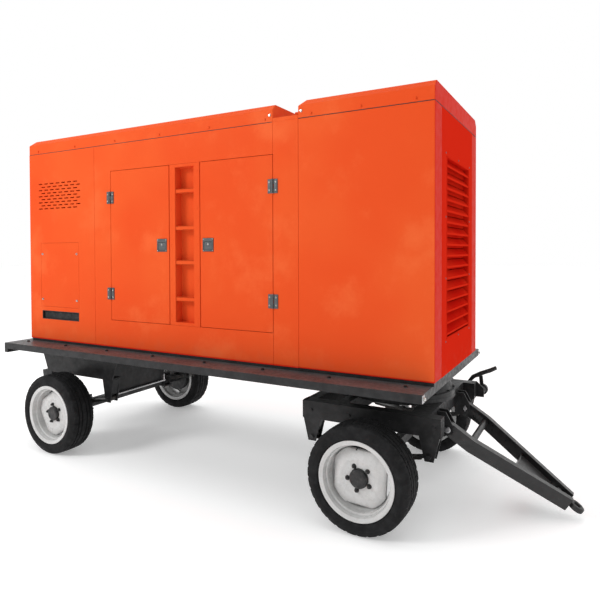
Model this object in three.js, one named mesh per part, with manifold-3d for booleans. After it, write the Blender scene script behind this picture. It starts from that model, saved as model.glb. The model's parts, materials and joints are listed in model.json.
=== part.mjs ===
// Towable diesel generator: a silenced canopy on a four-wheel drawbar trailer.
// Millimetres, +X towards the drawbar, +Y to the trailer's left, +Z up.
// The pieces are drawn with X = 0 at the canopy's front face, Y = 0 on the centre plane and Z = 0 on
// the ground, and the whole group is then centred over its own footprint.
import * as THREE from "three";
import { mergeVertices } from "three/addons/utils/BufferGeometryUtils.js";
import Module from "manifold-3d";

const wasm = await Module();
wasm.setup();

// ---- Driving dimensions ----
const fit = 0.4; // clearance left between pieces that touch
const shutGap = 3; // gap round doors and other panels that open

const canopyWidth = 1144;
const roofHeight = 119; // roof covers above that seam
const wall = 40; // foam-lined canopy wall
const chamfer = 40; // along the roof's edges

const doorWidth = 597;
const doorHeight = 1154;
const doorSill = 207; // height of the door opening above the canopy's lower edge
const doorHead = 205; // wall between the door opening and the roof seam
const stepColumnWidth = 281; // between the two doors of a side
const pillarWidth = 186; // fixed strip ahead of the front door, as long as the roof recess
const frontPanelLength = 861; // fixed side panel round the radiator outlet
const rearPanelLength = 978; // fixed side wall behind the rear door
const cornerReturn = 150; // how far that panel wraps round the front corner

const hingeWidth = 75;
const hingeHeight = 95;
const hingeInset = 206; // hinge centres from the top and bottom of a door
const knuckleRadius = 7;
const leafThickness = 4;

const lockSize = 92;
const lockHeight = 783; // above the canopy's lower edge
const lockInset = 71; // lock centre from the door's free edge

const louvreWidth = 614;
const louvreBottom = 219;
const louvreHead = 275; // wall between the louvres and the roof seam
const louvreCount = 16;

const deckLedge = 198; // deck beyond the canopy on each side
const deckRear = 71; // deck beyond the canopy at the rear
const deckSetback = 15; // deck front edge behind the canopy's front face
const baseStrip = 20; // skid plate between the deck and the canopy walls
const railDepth = 50; // deck side rails, with the plate
const deckPlate = 5;
const endChannelDepth = 80;

const frontAxleSetback = 377; // behind the canopy's front face
const rearOverhang = 533; // canopy behind the rear axle
const halfTrack = 716; // wheel centre plane from the centre plane
const tyreRadius = 308;
const tyreWidth = 205;
const rimFlangeRadius = 226;
const rimWidth = 190;
const rimBeadRadius = 203;
const discSetback = 57; // wheel disc's hub face behind the rim's outer flange plane
const hubCapRadius = 54;
const wheelSides = 20; // sides of every ring in a wheel

const axleBeam = 60;
const spindleRadius = 24;
const springWidth = 60;
const springThickness = 40;
const springFore = 327; // spring eye ahead of its axle
const springAft = 423; // spring eye behind its axle
const springEyeRise = 66; // eyes above the axle's top face
const springEyeRadius = 22;
const springInset = 244; // springs and bogie rails inside the wheels' centre planes

const bogieRailWidth = 80;
const bogieRailDepth = 110;
const springHeadroom = 114; // bogie rails above the spring eyes
const turntableHeight = 145; // between the bogie rails and the deck rails
const bogieNose = 395; // bogie rails ahead of the front axle
const bogieTail = 489; // bogie rails behind the front axle
const ringOuterRadius = 350;
const ringInnerRadius = 270;
const ringThickness = 25;

const drawbarReach = 377; // pivots ahead of the front axle
const drawbarDrop = 13; // pivots below the bogie rails
const drawbarLength = 852; // pivot to the front of the towing eye
const towEyeRest = 73.78; // height of the towing eye at rest
const drawbarHalfSpan = 250; // arm from the centre plane at the pivots
const drawbarKink = 150; // arms turn inwards this far from the pivots
const armWidth = 50;
const armDepth = 80;
const crossTubeRadius = 20;
const towEyeRadius = 45;
const towEyeBore = 20;
const towEyeThickness = 30;
const pinRadius = 12;

const fanRadius = 330;

// ---- Derived places ----
const canopyLength = frontPanelLength + pillarWidth + 2 * doorWidth + stepColumnWidth + rearPanelLength;
const frontAxleX = -frontAxleSetback;
const rearAxleX = rearOverhang - canopyLength;
const springOffset = halfTrack - springInset;
const axleZ = tyreRadius;
const axleTop = axleZ + axleBeam / 2;
const springEyeZ = axleTop + springEyeRise;
const bogieFront = frontAxleX + bogieNose;
const bogieRear = frontAxleX - bogieTail;
const bogieRailBottom = springEyeZ + springHeadroom;
const bogieRailTop = bogieRailBottom + bogieRailDepth;
const railBottom = bogieRailTop + turntableHeight;
const deckTop = railBottom + railDepth;
const canopyBase = deckTop + baseStrip; // height of the canopy's lower edge above the ground
const halfWidth = canopyWidth / 2;
const wallHeight = doorSill + doorHeight + doorHead; // from the canopy's lower edge to the roof seam
const wallTop = canopyBase + wallHeight;
const roofTop = wallTop + roofHeight;
const deckHalf = halfWidth + deckLedge;
const deckFrontX = -deckSetback;
const deckRearX = -canopyLength - deckRear;
const frontDoorHingeX = -(frontPanelLength + pillarWidth);
const frontDoorFreeX = frontDoorHingeX - doorWidth;
const rearDoorFreeX = frontDoorFreeX - stepColumnWidth;
const rearDoorHingeX = rearDoorFreeX - doorWidth;
const doorBottom = canopyBase + doorSill;
const doorTop = doorBottom + doorHeight;
const hingeHeights = [doorBottom + hingeInset, doorTop - hingeInset];
const hingeAxisOut = knuckleRadius + 1; // hinge axis outside the wall's face
const louvreHeight = wallHeight - louvreBottom - louvreHead;
const drawbarPivotX = frontAxleX + drawbarReach;
const drawbarPivotZ = bogieRailBottom - drawbarDrop;

// ---- Solids ----
const RIGHT = -1;
const LEFT = 1;
const turn = THREE.MathUtils.degToRad;

function box(x0, x1, y0, y1, z0, z1) {
  const lowX = Math.min(x0, x1);
  const lowY = Math.min(y0, y1);
  const lowZ = Math.min(z0, z1);
  const geometry = new THREE.BoxGeometry(Math.abs(x1 - x0), Math.abs(y1 - y0), Math.abs(z1 - z0));
  geometry.translate(lowX + Math.abs(x1 - x0) / 2, lowY + Math.abs(y1 - y0) / 2, lowZ + Math.abs(z1 - z0) / 2);
  return geometry;
}

function prism(points, depth) {
  const shape = new THREE.Shape(points.map(([u, v]) => new THREE.Vector2(u, v)));
  return new THREE.ExtrudeGeometry(shape, { depth, bevelEnabled: false });
}

// An outline in X and Z, extruded along Y between two faces.
function prismAlongY(points, y0, y1) {
  const geometry = prism(points, Math.abs(y1 - y0));
  return geometry.rotateX(Math.PI / 2).translate(0, Math.max(y0, y1), 0);
}

// An outline in Y and Z, extruded along X between two faces.
function prismAlongX(points, x0, x1) {
  const toX = new THREE.Matrix4().makeBasis(
    new THREE.Vector3(0, 1, 0),
    new THREE.Vector3(0, 0, 1),
    new THREE.Vector3(1, 0, 0),
  );
  return prism(points, Math.abs(x1 - x0)).applyMatrix4(toX).translate(Math.min(x0, x1), 0, 0);
}

// An outline in X and Y, extruded along Z between two faces.
function prismAlongZ(points, z0, z1) {
  return prism(points, Math.abs(z1 - z0)).translate(0, 0, Math.min(z0, z1));
}

function rodAlongY(x, z, radius, y0, y1, sides = 12) {
  const geometry = new THREE.CylinderGeometry(radius, radius, Math.abs(y1 - y0), sides);
  return geometry.translate(x, (y0 + y1) / 2, z);
}

function rodAlongX(y, z, radius, x0, x1, sides = 12) {
  const geometry = new THREE.CylinderGeometry(radius, radius, Math.abs(x1 - x0), sides);
  return geometry.rotateZ(Math.PI / 2).translate((x0 + x1) / 2, y, z);
}

function rodAlongZ(x, y, radius, z0, z1, sides = 12) {
  const geometry = new THREE.CylinderGeometry(radius, radius, Math.abs(z1 - z0), sides);
  return geometry.rotateX(Math.PI / 2).translate(x, y, (z0 + z1) / 2);
}

// Radius of a faceted bore whose flats stay clear of a shaft that turns in it.
function boreFor(shaftRadius, sides = 12) {
  return (shaftRadius + fit) / Math.cos(Math.PI / sides);
}

// A ring or disc turned about Y, from [radius, height] points, with a flat side facing down.
function turned(profile, sides) {
  const points = profile.map(([radius, height]) => new THREE.Vector2(radius, height));
  return new THREE.LatheGeometry(points, sides, Math.PI / sides);
}

function solid(geometry) {
  const bare = geometry.clone();
  bare.deleteAttribute("normal");
  bare.deleteAttribute("uv");
  const merged = mergeVertices(bare, 1e-3);
  const vertProperties = merged.getAttribute("position").array;
  const triVerts = new Uint32Array(merged.getIndex().array);
  return new wasm.Manifold(new wasm.Mesh({ numProp: 3, vertProperties, triVerts }));
}

function geometryOf(body) {
  const mesh = body.getMesh();
  const geometry = new THREE.BufferGeometry();
  geometry.setAttribute("position", new THREE.BufferAttribute(mesh.vertProperties, 3));
  geometry.setIndex(new THREE.BufferAttribute(mesh.triVerts, 1));
  geometry.computeVertexNormals();
  return geometry;
}

function join(...pieces) {
  return geometryOf(pieces.map(solid).reduce((whole, next) => whole.add(next)));
}

function cut(body, ...tools) {
  return geometryOf(tools.map(solid).reduce((whole, tool) => whole.subtract(tool), solid(body)));
}

// ---- Materials ----
function finish(color, roughness, metalness) {
  return new THREE.MeshStandardMaterial({ color, roughness, metalness });
}

const canopyPaint = finish(0xee5220, 0.38, 0.1);
const chassisPaint = finish(0x2b2b2d, 0.5, 0.3);
const wheelPaint = finish(0xe4e4e2, 0.35, 0.2);
const tyreRubber = finish(0x222222, 0.9, 0);
const darkCasting = finish(0x1b1b1c, 0.55, 0.5);
const bareSteel = finish(0x9a9c9e, 0.4, 0.9);
const springSteel = finish(0x252525, 0.6, 0.5);
const hardwareGrey = finish(0x3c3f42, 0.45, 0.6);
const enginePaint = finish(0x50605a, 0.55, 0.3);
const alternatorPaint = finish(0x35566e, 0.5, 0.3);
const radiatorBlack = finish(0x1d1f20, 0.6, 0.5);
const fanPlastic = finish(0x303030, 0.6, 0);
const mufflerSteel = finish(0x85807a, 0.6, 0.8);
const batteryPlastic = finish(0x17181a, 0.5, 0);
const panelGrey = finish(0xc9cbc8, 0.5, 0.1);
const buttonRed = finish(0xc81414, 0.4, 0);

// ---- Groups ----
const generator = new THREE.Group();
const chassis = new THREE.Group();
const bogie = new THREE.Group();
const drawbarGroup = new THREE.Group();
const canopy = new THREE.Group();
generator.add(chassis, bogie, canopy);
bogie.add(drawbarGroup);

function part(group, name, geometry, material) {
  const mesh = new THREE.Mesh(geometry, material);
  mesh.name = name;
  group.add(mesh);
  return mesh;
}

function sideName(side) {
  return side === RIGHT ? "right" : "left";
}

// ---- Wheels ----
const flangeOut = rimWidth / 2;
const flangeThickness = 6;
const rimSheet = 5;
const discThickness = 8;
const discFace = flangeOut - discSetback;
const discRadius = 165;
const crownRadius = 120;
const boltFaceRadius = 92;
const discRise = 5; // the disc's crown beyond its bolt face
const dropRadius = 180;
const hubBoreRadius = hubCapRadius + 1;
const drumInner = -60;
const drumRadius = 130;
const drumShoulder = 30; // drum's face behind the disc's bolt face

function tyreGeometry() {
  const beadInner = rimBeadRadius + fit;
  const beadSpread = flangeOut - flangeThickness - fit;
  const half = tyreWidth / 2;
  const treadHalf = half - 15;
  const casing = 12;
  const crown = tyreRadius / Math.cos(Math.PI / wheelSides); // flat sides stand at the tyre's radius
  return turned(
    [
      [beadInner, -beadSpread],
      [rimFlangeRadius + 4, -beadSpread],
      [rimFlangeRadius + 28, -half],
      [crown - 16, -half + 5],
      [crown, -treadHalf],
      [crown, treadHalf],
      [crown - 16, half - 5],
      [rimFlangeRadius + 28, half],
      [rimFlangeRadius + 4, beadSpread],
      [beadInner, beadSpread],
      [beadInner, beadSpread - 2 * casing],
      [crown - casing - 16, treadHalf],
      [crown - casing - 16, -treadHalf],
      [beadInner, -beadSpread + 2 * casing],
      [beadInner, -beadSpread],
    ],
    wheelSides,
  );
}

function rimGeometry() {
  const seat = rimBeadRadius;
  const inner = seat - rimSheet;
  const well = dropRadius;
  return turned(
    [
      [inner, -flangeOut],
      [rimFlangeRadius, -flangeOut],
      [rimFlangeRadius, -flangeOut + flangeThickness],
      [seat, -flangeOut + flangeThickness],
      [seat, -60],
      [well, -40],
      [well, 12],
      [seat, 32],
      [seat, flangeOut - flangeThickness],
      [rimFlangeRadius, flangeOut - flangeThickness],
      [rimFlangeRadius, flangeOut],
      [inner, flangeOut],
      [inner, 34],
      [well - rimSheet, 14],
      [discRadius, 12],
      [crownRadius, discFace + discRise],
      [boltFaceRadius, discFace],
      [hubBoreRadius, discFace],
      [hubBoreRadius, discFace - discThickness],
      [boltFaceRadius, discFace - discThickness],
      [discRadius, 2],
      [well - rimSheet, -42],
      [inner, -62],
      [inner, -flangeOut],
    ],
    wheelSides,
  );
}

function hubGeometry() {
  const back = discFace - discThickness - fit;
  const capOut = discFace + 22;
  const bore = spindleRadius + fit;
  const boreEnd = capOut - 20;
  return turned(
    [
      [bore, drumInner],
      [drumRadius, drumInner],
      [drumRadius, back - drumShoulder],
      [boltFaceRadius, back],
      [hubCapRadius, back],
      [hubCapRadius, capOut - 4],
      [hubCapRadius - 6, capOut],
      [0, capOut],
      [0, boreEnd],
      [bore, boreEnd],
      [bore, drumInner],
    ],
    wheelSides,
  );
}

function addWheel(group, place, axleX, side) {
  const name = `${place}_${sideName(side)}`;
  const pieces = [
    part(group, `${name}_tyre`, tyreGeometry(), tyreRubber),
    part(group, `${name}_wheel`, rimGeometry(), wheelPaint),
    part(group, `${name}_hub`, hubGeometry(), darkCasting),
  ];
  for (const piece of pieces) {
    piece.position.set(axleX, side * halfTrack, axleZ);
    piece.rotation.x = side === LEFT ? 0 : Math.PI;
  }
}

// ---- Axles and springs ----
const beamHalf = halfTrack + drumInner - 6;
const spindleEnd = halfTrack + discFace;

function axleGeometry(x) {
  const half = axleBeam / 2;
  return join(
    box(x - half, x + half, -beamHalf, beamHalf, axleZ - half, axleZ + half),
    rodAlongY(x, axleZ, spindleRadius, beamHalf - 5, spindleEnd),
    rodAlongY(x, axleZ, spindleRadius, -beamHalf + 5, -spindleEnd),
  );
}

// A leaf pack: a shallow arc, thickest over the axle, with an eye at each end.
function springGeometry(axleX, side) {
  const steps = 6;
  const tipThickness = 10;
  const seat = axleTop + fit;
  const lower = [];
  const upper = [];
  for (let i = 0; i <= steps; i++) {
    const along = i / steps;
    const x = axleX - springAft + along * (springAft + springFore);
    const reach = x < axleX ? (axleX - x) / springAft : (x - axleX) / springFore;
    const bottom = seat + (springEyeRise - tipThickness) * reach ** 2;
    lower.push([x, bottom]);
    upper.unshift([x, bottom + springThickness + (tipThickness - springThickness) * reach]);
  }
  const y0 = side * (springOffset - springWidth / 2);
  const y1 = side * (springOffset + springWidth / 2);
  return join(
    prismAlongY([...lower, ...upper], y0, y1),
    rodAlongY(axleX - springAft, springEyeZ, springEyeRadius, y0, y1),
    rodAlongY(axleX + springFore, springEyeZ, springEyeRadius, y0, y1),
  );
}

// A tapered bracket with one cheek each side of a spring eye, hung from a frame.
function hangerPieces(eyeX, side, top) {
  const topHalf = 60;
  const bottomHalf = 26;
  const cheek = 8;
  const bottom = springEyeZ - springEyeRadius - 6;
  const shape = [
    [eyeX - topHalf, top],
    [eyeX - bottomHalf, bottom],
    [eyeX + bottomHalf, bottom],
    [eyeX + topHalf, top],
  ];
  const inner = springOffset - springWidth / 2 - fit;
  const outer = springOffset + springWidth / 2 + fit;
  const bridge = springEyeZ + springEyeRadius + 12;
  const plate = [
    [eyeX - topHalf, top],
    [eyeX - topHalf / 2, bridge],
    [eyeX + topHalf / 2, bridge],
    [eyeX + topHalf, top],
  ];
  return [
    prismAlongY(shape, side * (inner - cheek), side * inner),
    prismAlongY(shape, side * outer, side * (outer + cheek)),
    prismAlongY(plate, side * (inner - cheek), side * (outer + cheek)),
  ];
}

// ---- Chassis ----
function deckGeometry() {
  const railWidth = 40;
  const beamWidth = 60;
  const pieces = [
    box(deckRearX, deckFrontX, -deckHalf, deckHalf, deckTop - deckPlate, deckTop),
    box(deckRearX, deckRearX + railWidth, -deckHalf, deckHalf, deckTop - endChannelDepth, deckTop),
    box(deckFrontX - railWidth, deckFrontX, -deckHalf, deckHalf, railBottom, deckTop),
  ];
  for (const side of [RIGHT, LEFT]) {
    pieces.push(
      box(deckRearX, deckFrontX, side * (deckHalf - railWidth), side * deckHalf, railBottom, deckTop),
      box(
        deckRearX,
        deckFrontX,
        side * (springOffset - beamWidth / 2),
        side * (springOffset + beamWidth / 2),
        railBottom,
        deckTop,
      ),
    );
  }
  pieces.push(box(deckRearX, deckFrontX, -beamWidth / 2, beamWidth / 2, railBottom, deckTop));
  return join(...pieces);
}

const riserTopHalf = 470;
const riserBottomHalf = 385;
const riserBottom = springEyeZ + 154;

// The fixed rear axle's mounting: a trapezoid plate each side, cross plate and spring hangers.
function rearSubframeGeometry() {
  const top = railBottom - fit;
  const plateThickness = 12;
  const plateOuter = springOffset + springWidth / 2 + 20;
  const crossX = rearAxleX + 150;
  const crossHalf = springOffset - springWidth / 2 - 120;
  const crossBottom = axleTop + 20;
  const outline = [
    [rearAxleX - riserTopHalf, top],
    [rearAxleX - riserBottomHalf, riserBottom],
    [rearAxleX + riserBottomHalf, riserBottom],
    [rearAxleX + riserTopHalf, top],
  ];
  const pieces = [
    prismAlongX(
      [
        [-plateOuter, top],
        [-plateOuter, riserBottom],
        [-crossHalf, riserBottom],
        [-crossHalf + 30, crossBottom],
        [crossHalf - 30, crossBottom],
        [crossHalf, riserBottom],
        [plateOuter, riserBottom],
        [plateOuter, top],
      ],
      crossX,
      crossX + plateThickness,
    ),
  ];
  for (const side of [RIGHT, LEFT]) {
    pieces.push(prismAlongY(outline, side * (plateOuter - plateThickness), side * plateOuter));
    const ledge = springOffset - springWidth / 2 - 20;
    pieces.push(
      box(
        rearAxleX - riserBottomHalf - 40,
        rearAxleX + riserBottomHalf,
        side * ledge,
        side * plateOuter,
        riserBottom,
        riserBottom + plateThickness,
      ),
      ...hangerPieces(rearAxleX - springAft + 8, side, riserBottom + 1),
      ...hangerPieces(rearAxleX + springFore, side, riserBottom + 1),
    );
  }
  return join(...pieces);
}

// The turntable's fixed half: a round bolster under the deck with the upper race.
function bolsterGeometry() {
  const raceBottom = bogieRailTop + ringThickness + 2 * fit;
  const raceTop = raceBottom + ringThickness;
  const top = railBottom - fit;
  const neck = 60;
  const profile = [
    [kingpinBore, raceBottom],
    [ringOuterRadius, raceBottom],
    [ringOuterRadius, raceTop],
    [ringOuterRadius - neck, top],
    [kingpinBore, top],
    [kingpinBore, raceBottom],
  ];
  return turned(profile, wheelSides).rotateX(Math.PI / 2).translate(frontAxleX, 0, 0);
}

const brakeShaftZ = axleTop + 36;

function brakeShaftGeometry() {
  const x = rearAxleX + 185;
  const half = springOffset - springWidth / 2 - 150;
  const lever = 60;
  const levers = [RIGHT, LEFT].map((side) =>
    box(x - 6, x + 6, side * (half - 8), side * (half - 20), brakeShaftZ - 8, brakeShaftZ + lever),
  );
  return join(rodAlongY(x, brakeShaftZ, 9, -half, half, 10), ...levers);
}

// ---- Front bogie ----
const kingpinRadius = 35;
const kingpinBore = kingpinRadius + 2;
const transomWidth = 70;
const bracketThickness = 10;
const bracketGap = 1;
const frontTransomX = drawbarPivotX - 60;

function bogieRailPieces(side) {
  const inner = side * (springOffset - bogieRailWidth / 2);
  const outer = side * (springOffset + bogieRailWidth / 2);
  return [
    box(bogieRear, bogieFront, inner, outer, bogieRailBottom, bogieRailTop),
    ...hangerPieces(frontAxleX - springAft, side, bogieRailBottom + 1),
    ...hangerPieces(frontAxleX + springFore, side, bogieRailBottom + 1),
  ];
}

// Two ears each side of a drawbar arm, standing out from the front transom.
function drawbarBracketPieces(side) {
  const near = drawbarHalfSpan - armWidth / 2 - bracketGap;
  const far = drawbarHalfSpan + armWidth / 2 + bracketGap;
  const ear = [
    [frontTransomX - 10, bogieRailTop - 20],
    [frontTransomX - 10, drawbarPivotZ - 45],
    [drawbarPivotX - 20, drawbarPivotZ - 45],
    [drawbarPivotX + 30, drawbarPivotZ - 22],
    [drawbarPivotX + 30, drawbarPivotZ + 30],
    [drawbarPivotX - 10, bogieRailTop - 20],
  ];
  const pieces = [];
  for (const [a, b] of [
    [near - bracketThickness, near],
    [far, far + bracketThickness],
  ]) {
    const plate = prismAlongY(ear, side * a, side * b);
    const hole = rodAlongY(drawbarPivotX, drawbarPivotZ, boreFor(pinRadius), side * (a - 5), side * (b + 5));
    pieces.push(cut(plate, hole));
  }
  return pieces;
}

const leverPivot = { x: bogieFront + 22, z: bogieRailTop - 77 };
const leverStubRadius = 26;
const leverStubEnd = springOffset + 201;

function bogieFrameGeometry() {
  const railOuter = springOffset + bogieRailWidth / 2;
  const transoms = [
    [frontTransomX - transomWidth, frontTransomX],
    [frontAxleX + ringInnerRadius - transomWidth, frontAxleX + ringInnerRadius],
    [frontAxleX - ringInnerRadius, frontAxleX - ringInnerRadius + transomWidth],
    [bogieRear, bogieRear + transomWidth],
  ];
  const pieces = transoms.map(([x0, x1]) =>
    box(x0, x1, -springOffset, springOffset, bogieRailBottom + 10, bogieRailTop),
  );
  pieces.push(box(frontAxleX - ringInnerRadius, frontAxleX + ringInnerRadius, -60, 60, bogieRailTop - 40, bogieRailTop));
  for (const side of [RIGHT, LEFT]) {
    pieces.push(...bogieRailPieces(side), ...drawbarBracketPieces(side));
  }
  const stubPlate = [
    [bogieFront - 60, bogieRailTop],
    [bogieFront - 60, bogieRailBottom],
    [leverPivot.x + 30, leverPivot.z - 32],
    [leverPivot.x + 30, leverPivot.z + 32],
    [bogieFront, bogieRailTop],
  ];
  pieces.push(
    prismAlongY(stubPlate, railOuter - 2, railOuter + 10),
    rodAlongY(leverPivot.x, leverPivot.z, leverStubRadius, railOuter + 5, leverStubEnd),
  );
  return join(...pieces);
}

// The turntable's lower race with the kingpin in its middle.
function slewingRingGeometry() {
  const z0 = bogieRailTop + fit;
  const z1 = z0 + ringThickness;
  const spoke = 40;
  const pinTop = railBottom - 20;
  const ring = turned(
    [
      [ringInnerRadius, z0],
      [ringOuterRadius, z0],
      [ringOuterRadius, z1],
      [ringInnerRadius, z1],
      [ringInnerRadius, z0],
    ],
    wheelSides,
  ).rotateX(Math.PI / 2);
  const reach = ringInnerRadius + 10;
  return join(
    ring,
    box(-reach, reach, -spoke, spoke, z0, z1),
    rodAlongZ(0, 0, kingpinRadius, z0, pinTop, 16),
  ).translate(frontAxleX, 0, 0);
}

// ---- Drawbar, drawn level along +X from its pivots ----
const eyeCentre = drawbarLength - towEyeRadius;
const armTip = eyeCentre - 40;
const armTipOffset = 42;
const drawbarPitch = Math.asin((drawbarPivotZ - towEyeRest) / eyeCentre); // below level at rest

function armPieces(side) {
  const half = armWidth / 2;
  const outline = [
    [0, side * (drawbarHalfSpan - half)],
    [drawbarKink - 8, side * (drawbarHalfSpan - half)],
    [armTip, side * (armTipOffset - half)],
    [armTip, side * (armTipOffset + half - 8)],
    [drawbarKink + 8, side * (drawbarHalfSpan + half)],
    [0, side * (drawbarHalfSpan + half)],
  ];
  const ordered = side === LEFT ? outline : [...outline].reverse();
  const y0 = side * (drawbarHalfSpan - half);
  const y1 = side * (drawbarHalfSpan + half);
  return [
    prismAlongZ(ordered, -armDepth / 2, armDepth / 2),
    rodAlongY(0, 0, armDepth / 2, y0, y1, 16),
  ];
}

function drawbarGeometry() {
  const gussetStart = armTip - 337;
  const gussetEnd = armTip - 127;
  const reach = (x) => {
    const along = (x - drawbarKink) / (armTip - drawbarKink);
    return drawbarHalfSpan + (armTipOffset - drawbarHalfSpan) * along;
  };
  const gusset = [
    [gussetStart, -reach(gussetStart)],
    [gussetEnd, -reach(gussetEnd)],
    [gussetEnd, reach(gussetEnd)],
    [gussetStart, reach(gussetStart)],
  ];
  const body = join(
    ...armPieces(RIGHT),
    ...armPieces(LEFT),
    rodAlongY(drawbarKink, 0, crossTubeRadius, -drawbarHalfSpan, drawbarHalfSpan),
    prismAlongZ(gusset, -6, 6),
  );
  const shankSlot = box(
    eyeCentre - 160,
    armTip + 1,
    -shankHalf - fit,
    shankHalf + fit,
    -towEyeThickness / 2 - fit,
    towEyeThickness / 2 + fit,
  );
  const bore = rodAlongY(0, 0, pinRadius + fit, -drawbarHalfSpan - armWidth, drawbarHalfSpan + armWidth);
  return cut(body, bore, shankSlot);
}

const shankHalf = 20;

function towEyeGeometry() {
  const half = towEyeThickness / 2;
  const lump = join(
    rodAlongZ(eyeCentre, 0, towEyeRadius, -half, half, 20),
    box(eyeCentre - 150, eyeCentre - 20, -shankHalf, shankHalf, -half, half),
  );
  return cut(lump, rodAlongZ(eyeCentre, 0, towEyeBore, -half - 5, half + 5, 16));
}

function pinGeometry(side) {
  const reach = armWidth / 2 + bracketGap + bracketThickness + 8;
  return rodAlongY(0, 0, pinRadius, side * (drawbarHalfSpan - reach), side * (drawbarHalfSpan + reach));
}

// ---- Parking-brake lever: a curved grip on an arm that turns on the bogie's stub shaft ----
function leverGeometry() {
  const thickness = 14;
  const y0 = leverStubEnd - 60;
  const y1 = y0 + thickness;
  const arm = [
    [-16, 20],
    [10, 20],
    [2, 100],
    [-24, 96],
  ];
  const grip = [
    [-112, 44],
    [-92, 36],
    [-52, 78],
    [2, 106],
    [60, 130],
    [104, 156],
    [96, 178],
    [44, 156],
    [-20, 128],
    [-76, 96],
  ];
  const boss = rodAlongY(0, 0, leverStubRadius + 14, y0 - 8, y1 + 8, 16);
  const body = join(boss, prismAlongY(arm, y0, y1), prismAlongY(grip, y0, y1));
  return cut(body, rodAlongY(0, 0, boreFor(leverStubRadius), y0 - 20, y1 + 20));
}

// ---- Canopy walls ----
function rectangle(u0, u1, v0, v1) {
  return [
    [u0, v0],
    [u1, v0],
    [u1, v1],
    [u0, v1],
  ];
}

// Outer face at `side`, measured inwards from it.
function inward(side, depth) {
  return side * (halfWidth - depth);
}

function hingeKnuckle(x, side, z0, z1) {
  return rodAlongZ(x, inward(side, -hingeAxisOut), knuckleRadius, z0, z1, 8);
}

// One leaf of a surface hinge with its share of the knuckle; `towards` is the way the leaf points.
function hingeLeafPieces(x, side, z, towards, middle) {
  const sink = 2;
  const leaf = box(
    x + towards * (knuckleRadius + 1),
    x + (towards * hingeWidth) / 2,
    inward(side, sink),
    inward(side, -leafThickness),
    z - hingeHeight / 2,
    z + hingeHeight / 2,
  );
  const third = hingeHeight / 6;
  const spans = middle
    ? [[z - third + fit, z + third - fit]]
    : [
        [z - hingeHeight / 2, z - third],
        [z + third, z + hingeHeight / 2],
      ];
  const webs = spans.flatMap(([z0, z1]) => [
    hingeKnuckle(x, side, z0, z1),
    box(x, x + towards * 12, inward(side, -1), inward(side, -hingeAxisOut), z0, z1),
  ]);
  return [leaf, ...webs];
}

const rearFaceX = -canopyLength;
const terminalCover = { x0: rearFaceX + 141, x1: rearFaceX + 609, z0: canopyBase + 280, z1: canopyBase + 812 };
const cableOutlet = { x0: rearFaceX + 154, x1: rearFaceX + 607, z0: canopyBase + 173, z1: canopyBase + 244 };
const coverThickness = 4;
const coverRebate = 20;

function sideFrameGeometry(side) {
  const rearX = -canopyLength;
  const frontX = -frontPanelLength - fit;
  const tools = [
    box(rearDoorHingeX, frontDoorHingeX, inward(side, -5), inward(side, wall + 5), doorBottom, doorTop),
  ];
  if (side === RIGHT) {
    const c = terminalCover;
    tools.push(
      box(c.x0 - fit, c.x1 + fit, inward(side, -5), inward(side, coverThickness + fit), c.z0 - fit, c.z1 + fit),
      box(
        c.x0 + coverRebate,
        c.x1 - coverRebate,
        inward(side, -5),
        inward(side, wall + 5),
        c.z0 + coverRebate,
        c.z1 - coverRebate,
      ),
      box(
        cableOutlet.x0,
        cableOutlet.x1,
        inward(side, -5),
        inward(side, wall + 5),
        cableOutlet.z0,
        cableOutlet.z1,
      ),
    );
  }
  const outline = rectangle(rearX, frontX, canopyBase, wallTop);
  const plate = cut(prismAlongY(outline, inward(side, 0), inward(side, wall)), ...tools);
  const leaves = hingeHeights.flatMap((z) => [
    ...hingeLeafPieces(frontDoorHingeX, side, z, 1, false),
    ...hingeLeafPieces(rearDoorHingeX, side, z, -1, false),
  ]);
  return join(plate, ...leaves);
}

function doorGeometry(hingeX, side) {
  const away = hingeX === frontDoorHingeX ? -1 : 1; // from the hinge to the free edge
  const freeX = hingeX + away * doorWidth;
  const slab = box(
    hingeX + away * shutGap,
    freeX - away * shutGap,
    inward(side, 0),
    inward(side, wall - 2),
    doorBottom + shutGap,
    doorTop - shutGap,
  );
  const lockX = freeX - away * lockInset;
  const lockZ = canopyBase + lockHeight;
  const half = lockSize / 2 + 1;
  const pocket = box(
    lockX - half,
    lockX + half,
    inward(side, -5),
    inward(side, lockDepth + 1),
    lockZ - half,
    lockZ + half,
  );
  const leaves = hingeHeights.flatMap((z) => hingeLeafPieces(hingeX, side, z, away, true));
  return join(cut(slab, pocket), ...leaves);
}

const lockDepth = 10;
const lockProud = 4;

function lockGeometry(hingeX, side) {
  const away = hingeX === frontDoorHingeX ? -1 : 1;
  const lockX = hingeX + away * (doorWidth - lockInset);
  const lockZ = canopyBase + lockHeight;
  const half = lockSize / 2;
  return box(
    lockX - half,
    lockX + half,
    inward(side, -lockProud),
    inward(side, lockDepth),
    lockZ - half,
    lockZ + half,
  );
}

// The fixed column between the doors: a recess with four rungs to climb to the roof.
const stepPocketWidth = 169;
const stepPocketDepth = 70;
const stepPocketMargin = 22;
const rungHeights = [190, 452, doorHeight - 456, doorHeight - 192]; // above the door sill
const rungSize = 30;

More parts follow.
